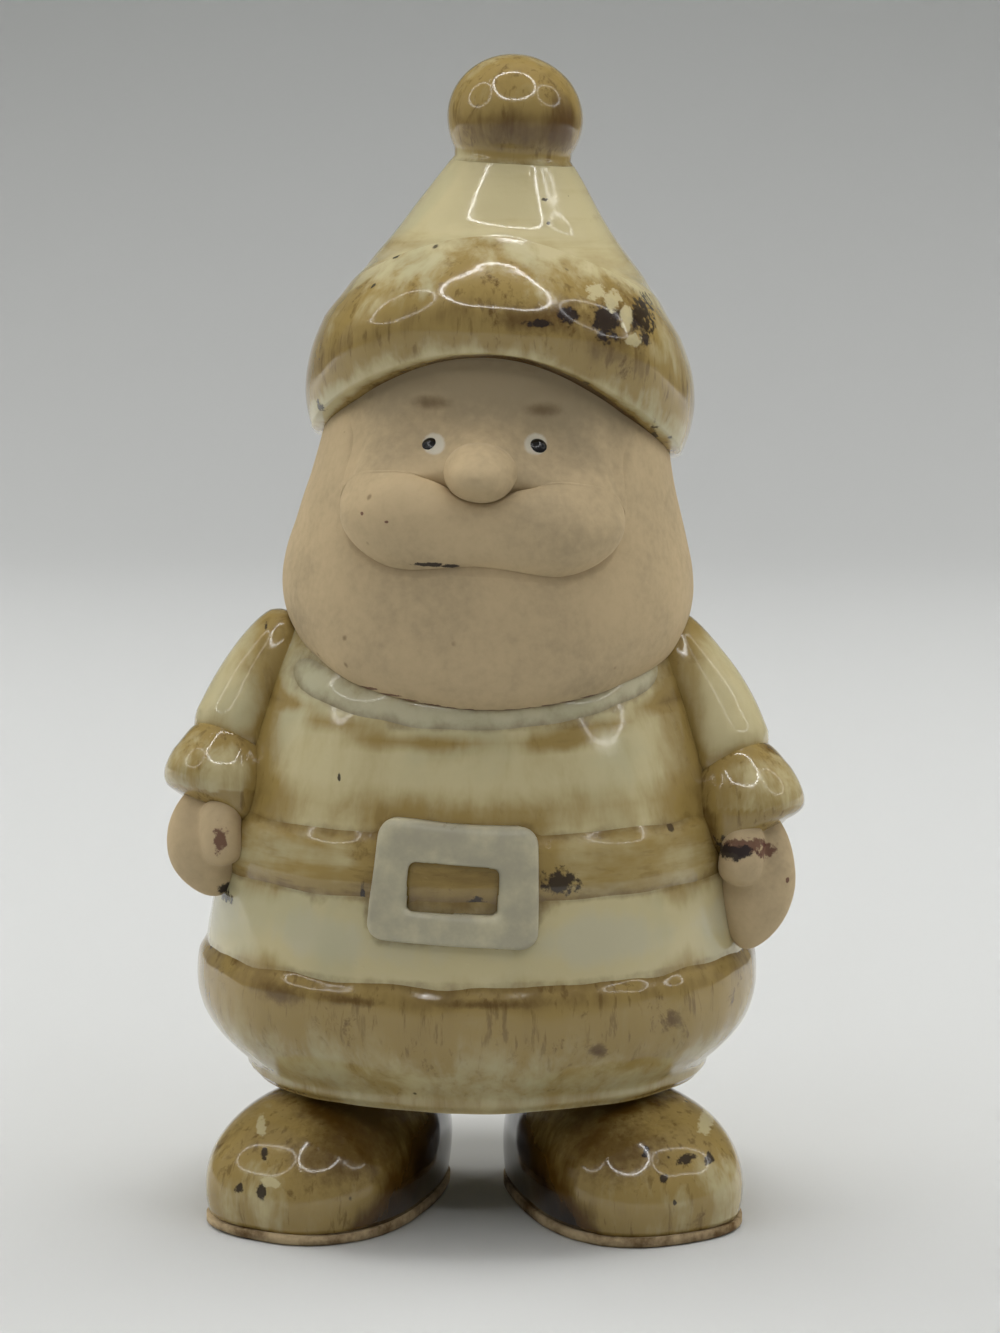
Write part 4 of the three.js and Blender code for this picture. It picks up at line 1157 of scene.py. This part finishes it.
def beard_line(outline):
    """A thin line of old red wash along the front of the beard's lower edge."""
    marks = []
    for part in range(-5, 7):
        angle = math.radians(part * 7)
        height = beard_edge(angle)
        reach = (outline.radius(height) - BEARD_TUCK) / MM
        place = (reach * math.sin(angle), -reach * math.cos(angle), height / MM + 0.15)
        marks.append(bust_mark(*place) + (1.2, 0.13))
    return marks


def beard_piece(sizes):
    outline = beard_outline(sizes)

    def upper(angle):
        under_face, at_temple = 4.6 * MM, 13 * MM
        opening = smoothstep(abs(math.degrees(angle)), 36, 56)
        return under_face + (at_temple - under_face) * opening

    def relief(share, angle):
        under = max(1 - share / 0.3, 0)
        over = max((share - 0.86) / 0.14, 0)
        lower_round = -BEARD_TUCK * (1 - math.sqrt(1 - under**2))
        upper_round = -1.8 * MM * (1 - math.sqrt(max(1 - over**2, 0)))
        return lower_round + upper_round

    seat = 5 * MM
    bm = wrapped_band(outline.around, beard_edge, upper, relief, seat, BEARD_DEPTH, rows=70)
    clay = bisque("beard_bisque", marks=beard_line(outline), painted_shade_spots=MOUTH)
    return finish("full_beard", bm, clay, ["beard"], bust=True)


def moustache_piece(sizes):
    radius = sizes.moustache_radius
    shell = BEARD_AT_FACE - 0.6 * MM
    tip_rise = 2.5 * MM

    def middle(x):
        return 4.9 * MM + tip_rise * (abs(x) / sizes.moustache_half_width) ** 3

    stations = []
    for share in (-1, -0.75, -0.5, -0.25, 0, 0.25, 0.5, 0.75, 1):
        x = share * sizes.moustache_half_width
        stations.append((x, -math.sqrt(shell**2 - x**2) * BEARD_DEPTH, middle(x)))
    radii = [(0, radius * 0.5), (0.14, radius * 0.84), (0.29, radius), (0.5, radius * 0.74)]
    radii += [(1 - share, size) for share, size in reversed(radii[:-1])]
    bm = limb(stations, radii, flatness=0.86, rows=110, fullness=10, steps=72)
    for vert in bm.verts:
        above = vert.co.z - middle(vert.co.x)
        vert.co.z += 0.35 * max(above, 0)
    marks = ((-8.2, 55.6, 0.13, 0.16), (-6.3, 55.1, 0.16, 0.1))
    clay = bisque("moustache_bisque", marks=marks, painted_shade_spots=MOUTH)
    return finish("two_lobed_moustache", bm, clay, ["moustache"], bust=True)


def nose_piece(sizes):
    bm = bmesh.new()
    bmesh.ops.create_uvsphere(bm, u_segments=56, v_segments=36, radius=1)
    half_width, half_depth, half_height = sizes.nose_half_width, 3 * MM, 1.65 * MM
    for vert in bm.verts:
        across, deep, up = vert.co
        narrowing = 1 - 0.1 * up
        vert.co = Vector((across * half_width * narrowing, deep * half_depth, up * half_height))
    bmesh.ops.translate(bm, vec=(0, -BEARD_AT_FACE - 0.6 * MM, 9.3 * MM), verts=bm.verts)
    return finish("round_nose", bm, bisque(), ["nose"], bust=True)


def eye_height(side):
    """Both eyes stand level although the head leans."""
    return 11.2 * MM + side * 0.22 * MM


def eye_piece(sizes, name, side):
    spread, height = 4 * MM, eye_height(side)
    x = side * spread
    radius = head_outline().radius(height) + face_relief(x, height)
    step = 0.4 * MM
    slope = (face_relief(x, height + step) - face_relief(x, height - step)) / (2 * step)
    bm = bmesh.new()
    bmesh.ops.create_uvsphere(bm, u_segments=28, v_segments=18, radius=sizes.eye_radius)
    bmesh.ops.scale(bm, vec=(1, 0.6, 1), verts=bm.verts)
    lean_back = Matrix.Rotation(math.atan(slope), 4, "X")
    turn = Matrix.Rotation(math.asin(x / radius), 4, "Z")
    place = Matrix.Translation((x, -math.sqrt(radius**2 - x**2) - 0.05 * MM, height))
    bmesh.ops.transform(bm, matrix=place @ turn @ lean_back, verts=bm.verts)
    return finish(name + "_eye_dot", bm, enamel(), [name + "_eye"], bust=True)


# Hat, in the frame of the bust

CROWN_TIP = 32.3 * MM
PLUG_RADIUS = 4.3 * MM
PLUG_DEPTH = 0.4 * MM


def crown_outline():
    return Outline(
        [
            (HEAD_TOP + 0.3 * MM, 12.3 * MM),
            (23.2 * MM, 11.2 * MM),
            (27.6 * MM, 8 * MM),
            (CROWN_TIP, 4.8 * MM),
        ]
    )


def crown_glaze():
    """Clear glaze with level brush streaks and a few flecks."""
    return glaze(
        "crown_clear_glaze",
        streaks=(70.0, 70.0, 600.0),
        strokes=(260.0, 260.0, 1400.0),
        specks=0.03,
        blotches=0.4,
        variety=0.6,
        marks=((5.45, 78.7, 0.35, 0.14), (7.1, 78.9, 0.12, 0.2), (5.6, 76.9, 0.15, 0.12)),
        shades=((9.3, 77.2, 0.6, 1.0), (-6.5, 75.4, 2.2, 0.3), (2.0, 74.8, 4.0, 0.25)),
    )


def crown_piece(sizes):
    outline = crown_outline()
    points = [(radius, height) for height, radius in outline.points]
    plug = [(PLUG_RADIUS, CROWN_TIP + PLUG_DEPTH), (0, CROWN_TIP + PLUG_DEPTH)]
    bm = spun([(0, points[0][1])] + points + plug, AROUND)

    def stain_and_shade(point):
        wash = 1 - smoothstep(point.z, 25.5 * MM, 27.5 * MM)
        return 0.05 + 0.3 * wash

    return finish("glazed_crown", bm, crown_glaze(), ["hat_crown"], stain_and_shade, bust=True)


def brim_piece(sizes):
    head = head_outline()
    crown = crown_outline()

    def base(height, angle):
        return head.radius(height) if height < HEAD_TOP else crown.radius(height)

    def lower(angle):
        return 17.9 * MM - sweep(7.6 * MM, 4 * MM, angle)

    def upper(angle):
        return 26.6 * MM - sweep(5.8 * MM, 1.8 * MM, angle)

    def relief(share, angle):
        start = 0.16
        swell = math.sin(math.pi * (start + (1 - start) * share))
        thick = 0.5 * MM * edge_fade(share, 0.05, 0.2)
        return sizes.brim_swell * swell * edge_fade(share, 0.05, 0.02) + thick

    seat = 2 * MM
    bm = wrapped_band(base, lower, upper, relief, seat, rows=64)

    def stain_and_shade(point):
        above = point.z - lower(angle_of(point))
        below = upper(angle_of(point)) - point.z
        left = 1 - smoothstep(point.x, -14 * MM, 8 * MM)
        reach = 1.2 + 1.1 * left + 0.9 * noise.noise(point * 240)
        pale_edge = (0.6 + 0.4 * left) * (1 - smoothstep(above, 0.1 * MM, reach * MM))
        pale_top = 1 - smoothstep(below, 0.2 * MM, 2 * MM)
        lip = 1 - smoothstep(above, 0.05 * MM, 0.4 * MM)
        wash = 0.78 - 0.85 * pale_edge - 0.5 * pale_top + 0.55 * bump(above - 3.6 * MM, 2.2 * MM)
        return wash + (2.4 - 1.2 * left) * lip

    return finish("fur_brim", bm, brim_glaze(), ["hat_brim"], stain_and_shade, bust=True)


def pompom_piece(sizes):
    middle = CROWN_TIP + 3.5 * MM
    half_height = 5 * MM
    lowest = -30
    points = [(0, CROWN_TIP - PLUG_DEPTH), (PLUG_RADIUS, CROWN_TIP - PLUG_DEPTH)]
    points += [(4.78 * MM, CROWN_TIP), (4.5 * MM, CROWN_TIP + 0.4 * MM)]
    for part in range(41):
        turn = math.radians(lowest + (90 - lowest) * part / 40)
        points.append((sizes.pompom_radius * math.cos(turn), middle + half_height * math.sin(turn)))
    bm = spun(points, AROUND // 2)

    def stain_and_shade(point):
        foot_wash = 1 - smoothstep(point.z, CROWN_TIP, CROWN_TIP + 1.4 * MM)
        low_front = bump(point.z - middle + 0.8 * MM, 3 * MM) * smoothstep(-point.y, 0, 4 * MM)
        return 0.95 - 0.5 * foot_wash + 0.8 * low_front + 0.35 * point.x / sizes.pompom_radius

    return finish("glazed_pompom", bm, pompom_glaze(), ["hat_pompom"], stain_and_shade, bust=True)


# Joins and creases

SOFT_JOINS = (
    ("right_glazed_sleeve", "glazed_coat", 1.2),
    ("left_glazed_sleeve", "glazed_coat", 1.2),
    ("right_fur_cuff", "right_glazed_sleeve", 0.6),
    ("left_fur_cuff", "left_glazed_sleeve", 0.6),
    ("fur_brim", "glazed_crown", 0.8),
    ("round_nose", "bisque_head", 1.5),
    ("round_nose", "two_lobed_moustache", 0.5),
    ("two_lobed_moustache", "bisque_head", 1.4),
    ("full_beard", "bisque_head", 0.9),
    ("belt_frame_buckle", "glazed_belt", 0.2),
)

FLUSH_JOINS = (
    ("glazed_pompom", "glazed_crown"),
    ("fur_brim", "glazed_crown"),
)


def nearness(trees, others, point, reach):
    """1 where a point lies in another piece, falling to 0 at a reach from one."""
    nearest = 0.0
    for name, (low, high) in others.items():
        if not all(low[i] < point[i] < high[i] for i in range(3)):
            continue
        near, normal, _, distance = trees[name].find_nearest(point, reach)
        if near is None:
            continue
        inside = (point - near).dot(normal) < 0
        nearest = max(nearest, 1.0 if inside else 1 - distance / reach)
    return nearest


def tree_of(piece):
    """A search tree over a piece's mesh."""
    mesh = piece.data
    points = [vert.co.copy() for vert in mesh.vertices]
    return BVHTree.FromPolygons(points, [polygon.vertices[:] for polygon in mesh.polygons])


def signed_distance(tree, point):
    """Distance to a closed mesh, negative inside, and the way out of it."""
    near, normal, _, distance = tree.find_nearest(point)
    away = point - near
    inside = away.dot(normal) < 0
    if distance < 1e-9:
        return 0.0, normal
    return (-distance, -away / distance) if inside else (distance, away / distance)


def soften(piece, own, other, width):
    """Moves a piece's vertices near another piece onto the rounded union of the two, and rubs them smooth."""
    sink, least_slope = 0.3, 0.35
    still = 0.01 * MM
    moved = []
    for vert in piece.data.vertices:
        point = vert.co.copy()
        start, _ = signed_distance(other, point)
        if start > width or start < -width:
            continue
        for _ in range(3):
            mine, my_way = signed_distance(own, point)
            theirs, their_way = signed_distance(other, point)
            near = max(1 - abs(mine - theirs) / width, 0)
            value = min(mine, theirs) - near**2 * width / 4
            share = near / 2 if mine < theirs else 1 - near / 2
            way = my_way * (1 - share) + their_way * share
            if mine > theirs:
                value += sink * (mine - theirs)
            point -= way * value / max(way.length_squared, least_slope)
        fade = smoothstep(start, -width, -width * 0.4)
        if (point - vert.co).length * fade > still:
            moved.append(vert.index)
        vert.co = vert.co.lerp(point, fade)
    rub(piece, moved)


def rub(piece, moved):
    """Smooths some of a piece's vertices."""
    bm = bmesh.new()
    bm.from_mesh(piece.data)
    bm.verts.ensure_lookup_table()
    verts = [bm.verts[index] for index in moved]
    for _ in range(6):
        bmesh.ops.smooth_vert(bm, verts=verts, factor=0.5, use_axis_x=True, use_axis_y=True, use_axis_z=True)
    bm.to_mesh(piece.data)
    bm.free()


def soften_joins(sizes):
    pieces = {name for join in SOFT_JOINS for name in join[:2]}
    trees = {name: tree_of(bpy.data.objects[name]) for name in pieces}
    for first, second, share in SOFT_JOINS:
        width = sizes.join_softness * share
        soften(bpy.data.objects[first], trees[first], trees[second], width)
        soften(bpy.data.objects[second], trees[second], trees[first], width)


def evened(mesh, values, rounds):
    """A vertex value spread to the neighbours, so that it has no steps."""
    ends = np.empty(len(mesh.edges) * 2, dtype=np.int64)
    mesh.edges.foreach_get("vertices", ends)
    first, second = ends[0::2], ends[1::2]
    size = len(values)
    count = np.bincount(ends, minlength=size)
    spread = np.array(values)
    for _ in range(rounds):
        total = np.bincount(first, spread[second], size) + np.bincount(second, spread[first], size)
        spread = (spread + total / np.maximum(count, 1)) / 2
    return spread


def mark_creases():
    """Stores on each vertex how closely another piece touches it and how closely one faces it; the second
    feeds wash pooled in hollows and painted shade.
    """
    meshes = [piece for piece in bpy.data.objects if piece.type == "MESH"]
    pieces = [piece for piece in meshes if "stain_and_shade" in piece.data.attributes]
    touch, face = 0.7 * MM, 2.2 * MM
    joined = {frozenset(join[:2]) for join in SOFT_JOINS}
    flush = {frozenset(join) for join in FLUSH_JOINS}
    trees = {piece.name: tree_of(piece) for piece in pieces}
    boxes = {}
    for piece in pieces:
        points = [vert.co for vert in piece.data.vertices]
        low = Vector([min(point[i] for point in points) - face for i in range(3)])
        high = Vector([max(point[i] for point in points) + face for i in range(3)])
        boxes[piece.name] = (low, high)
    for piece in pieces:
        pairs = {name: frozenset((name, piece.name)) for name in boxes if name != piece.name}
        apart = {name: boxes[name] for name, pair in pairs.items() if pair not in joined | flush}
        facing = {name: boxes[name] for name, pair in pairs.items() if pair not in flush}
        vertices = piece.data.vertices
        crease = [nearness(trees, apart, vert.co, touch) for vert in vertices]
        hollow_shade_and_pool = [nearness(trees, facing, vert.co + vert.normal * face * 0.8, face) for vert in vertices]
        for name, values, rounds in (("crease", crease, 1), ("hollow_shade_and_pool", hollow_shade_and_pool, 12)):
            attribute = piece.data.attributes.new(name, "FLOAT", "POINT")
            attribute.data.foreach_set("value", evened(piece.data, values, rounds))


# Stage

IMAGE_HEIGHT = 1333


def stage_backdrop():
    """A pale floor that sweeps up into a wall, painted greyer higher up as painted shade."""
    bm = bmesh.new()
    front, bend, radius, top = -0.7, 0.45, 0.35, 1.3
    points = [(front, 0.0), (bend, 0.0)]
    for part in range(1, 17):
        turn = math.pi / 2 * part / 16
        points.append((bend + radius * math.sin(turn), radius * (1 - math.cos(turn))))
    points.append((bend + radius, top))
    rim = [bm.verts.new((-1.6, y, z)) for y, z in points]
    edges = [bm.edges.new(pair) for pair in zip(rim, rim[1:])]
    made = bmesh.ops.extrude_edge_only(bm, edges=edges)
    moved = [item for item in made["geom"] if isinstance(item, bmesh.types.BMVert)]
    bmesh.ops.translate(bm, vec=(3.2, 0, 0), verts=moved)
    mesh = bpy.data.meshes.new("stage_sweep")
    bm.to_mesh(mesh)
    bm.free()
    mesh.polygons.foreach_set("use_smooth", [True] * len(mesh.polygons))
    material, wires, shader, place = blank_material("stage_paper")
    # Painted shade: the paper darkens from the floor up the wall.
    height = wires.add("ShaderNodeSeparateXYZ", {"Vector": place}).outputs["Z"]
    rise = wires.ramp(height, 0.0, 0.3)
    tone = wires.mix(rise, linear(200, 201, 199), linear(146, 149, 146))
    wires.tree.links.new(tone, shader.inputs["Base Color"])
    shader.inputs["Roughness"].default_value = 0.9
    shader.inputs["Specular IOR Level"].default_value = 0.1
    mesh.materials.append(material)
    sweep_object = bpy.data.objects.new("stage_sweep", mesh)
    bpy.context.collection.objects.link(sweep_object)


def aim(thing, target):
    thing.rotation_euler = (target - thing.location).to_track_quat("-Z", "Y").to_euler()


def softbox(name, place, size, power, target):
    """A soft round lamp that doesn't show in the glaze."""
    lamp = bpy.data.lights.new(name, "AREA")
    lamp.shape = "DISK"
    lamp.size = size
    lamp.energy = power
    thing = bpy.data.objects.new(name, lamp)
    thing.location = place
    thing.visible_glossy = False
    aim(thing, target)
    bpy.context.collection.objects.link(thing)


def ring_lamp(name, target, azimuth, elevation, radius, tube, strength):
    """A round tube lamp, whose reflection shows as a ring in the glaze."""
    distance = 0.3
    bm = bmesh.new()
    bmesh.ops.create_circle(bm, segments=12, radius=tube)
    bmesh.ops.rotate(bm, cent=(0, 0, 0), matrix=Matrix.Rotation(math.pi / 2, 3, "X"), verts=bm.verts)
    bmesh.ops.translate(bm, vec=(radius, 0, 0), verts=bm.verts)
    bmesh.ops.spin(
        bm,
        geom=bm.verts[:] + bm.edges[:],
        cent=(0, 0, 0),
        axis=(0, 0, 1),
        angle=2 * math.pi,
        steps=64,
        use_merge=True,
    )
    mesh = bpy.data.meshes.new(name)
    bm.to_mesh(mesh)
    bm.free()
    material = bpy.data.materials.new(name)
    material.use_nodes = True
    material.node_tree.nodes.clear()
    wires = Wiring(material.node_tree)
    glow = wires.add("ShaderNodeEmission", {"Strength": strength})
    wires.add("ShaderNodeOutputMaterial", {"Surface": glow.outputs[0]})
    mesh.materials.append(material)
    ring = bpy.data.objects.new(name, mesh)
    across, up = math.radians(azimuth), math.radians(elevation)
    way = Vector((math.sin(across) * math.cos(up), -math.cos(across) * math.cos(up), math.sin(up)))
    ring.location = target + way * distance
    aim(ring, target)
    bpy.context.collection.objects.link(ring)


def stage_lights():
    target = AXIS + Vector((0, 0, 0.045))
    high = AXIS + Vector((0, 0, 0.08))
    softbox("top_softbox", Vector((0, 0.12, 0.6)), 0.4, 1.6, target)
    softbox("left_back_softbox", Vector((-0.5, 0.3, 0.25)), 0.45, 1.9, target)
    softbox("right_back_softbox", Vector((0.5, 0.3, 0.25)), 0.45, 1.9, target)
    ring_lamp("front_ring_lamp", high, 0, 66, 0.17, 0.004, 20.0)
    ring_lamp("left_ring_lamp", high, -75, 35, 0.1, 0.003, 8.0)
    ring_lamp("right_ring_lamp", high, 75, 35, 0.1, 0.003, 8.0)
    world = bpy.data.worlds.new("studio_air")
    world.use_nodes = True
    background = world.node_tree.nodes["Background"]
    background.inputs["Color"].default_value = (1, 1, 1, 1)
    background.inputs["Strength"].default_value = 0.22
    bpy.context.scene.world = world


def stage_camera():
    """The camera stands in front, a little above and to the figure's left."""
    distance = 0.3
    azimuth, elevation = math.radians(1.2), math.radians(8)
    focal_pixels = 3802
    away = Vector(
        (
            math.sin(azimuth) * math.cos(elevation),
            -math.cos(azimuth) * math.cos(elevation),
            math.sin(elevation),
        )
    )
    target = Vector((1.3 * MM, 0, 42 * MM))
    lens = bpy.data.cameras.new("photo_camera")
    lens.sensor_fit = "VERTICAL"
    lens.sensor_height = 36
    lens.lens = lens.sensor_height * focal_pixels / IMAGE_HEIGHT
    camera = bpy.data.objects.new("photo_camera", lens)
    camera.location = target + away * distance
    aim(camera, target)
    bpy.context.collection.objects.link(camera)
    bpy.context.scene.camera = camera


# Operators


class SANTA_OT_coat(bpy.types.Operator):
    """Model the coat with its fur hem, belt and collar"""

    bl_idname = "santa.coat"
    bl_label = "Coat"

    def execute(self, context):
        sizes = context.scene.santa_sizes
        coat_piece(sizes)
        hem_piece(sizes)
        belt_piece(sizes)
        collar_piece(sizes)
        return {"FINISHED"}


class SANTA_OT_buckle(bpy.types.Operator):
    """Model the frame buckle on the belt"""

    bl_idname = "santa.buckle"
    bl_label = "Buckle"

    def execute(self, context):
        buckle_piece(context.scene.santa_sizes)
        return {"FINISHED"}


class SANTA_OT_arms(bpy.types.Operator):
    """Model the sleeves, cuffs and mitten hands"""

    bl_idname = "santa.arms"
    bl_label = "Arms"

    def execute(self, context):
        sizes = context.scene.santa_sizes
        for arm in ARMS:
            sleeve_piece(sizes, arm)
            cuff_piece(sizes, arm)
            hand_piece(sizes, arm)
        return {"FINISHED"}


class SANTA_OT_boots(bpy.types.Operator):
    """Model the boots, soles and leg pegs"""

    bl_idname = "santa.boots"
    bl_label = "Boots"

    def execute(self, context):
        sizes = context.scene.santa_sizes
        for name, side in (("right", -1), ("left", 1)):
            boot_pieces(sizes, name, side)
            leg_piece(sizes, name, side)
        return {"FINISHED"}


class SANTA_OT_head(bpy.types.Operator):
    """Model the head, beard, moustache, nose and eyes"""

    bl_idname = "santa.head"
    bl_label = "Head"

    def execute(self, context):
        sizes = context.scene.santa_sizes
        head_piece(sizes)
        beard_piece(sizes)
        moustache_piece(sizes)
        nose_piece(sizes)
        eye_piece(sizes, "right", -1)
        eye_piece(sizes, "left", 1)
        return {"FINISHED"}


class SANTA_OT_hat(bpy.types.Operator):
    """Model the hat's crown, fur brim and pompom"""

    bl_idname = "santa.hat"
    bl_label = "Hat"

    def execute(self, context):
        sizes = context.scene.santa_sizes
        crown_piece(sizes)
        brim_piece(sizes)
        pompom_piece(sizes)
        return {"FINISHED"}


class SANTA_OT_joins(bpy.types.Operator):
    """Round off the joins between pieces and find where glaze gathers and where shade is painted"""

    bl_idname = "santa.joins"
    bl_label = "Joins"

    def execute(self, context):
        soften_joins(context.scene.santa_sizes)
        mark_creases()
        return {"FINISHED"}


class SANTA_OT_stage(bpy.types.Operator):
    """Set the floor, backdrop, lights and camera"""

    bl_idname = "santa.stage"
    bl_label = "Stage"

    def execute(self, context):
        stage_backdrop()
        stage_lights()
        stage_camera()
        context.scene.view_settings.view_transform = "Standard"
        return {"FINISHED"}


OPERATORS = (
    SANTA_OT_coat,
    SANTA_OT_buckle,
    SANTA_OT_arms,
    SANTA_OT_boots,
    SANTA_OT_head,
    SANTA_OT_hat,
    SANTA_OT_joins,
    SANTA_OT_stage,
)


class SANTA_PT_panel(bpy.types.Panel):
    """Steps, sizes and colours of the figurine"""

    bl_idname = "SANTA_PT_panel"
    bl_label = "Ceramic Santa"
    bl_space_type = "VIEW_3D"
    bl_region_type = "UI"
    bl_category = "Santa"

    def draw(self, context):
        column = self.layout.column(align=True)
        for operator in OPERATORS:
            column.operator(operator.bl_idname)
        for settings in (context.scene.santa_sizes, context.scene.santa_colours):
            box = self.layout.box()
            for name in settings.__annotations__:
                box.prop(settings, name)


CLASSES = (SantaSizes, SantaColours, *OPERATORS, SANTA_PT_panel)


def register():
    for item in CLASSES:
        bpy.utils.register_class(item)
    bpy.types.Scene.santa_sizes = PointerProperty(type=SantaSizes)
    bpy.types.Scene.santa_colours = PointerProperty(type=SantaColours)


def unregister():
    del bpy.types.Scene.santa_colours
    del bpy.types.Scene.santa_sizes
    for item in reversed(CLASSES):
        bpy.utils.unregister_class(item)


def main():
    register()
    bpy.ops.santa.coat()
    bpy.ops.santa.buckle()
    bpy.ops.santa.arms()
    bpy.ops.santa.boots()
    bpy.ops.santa.head()
    bpy.ops.santa.hat()
    bpy.ops.santa.joins()
    bpy.ops.santa.stage()


if __name__ == "__main__":
    main()
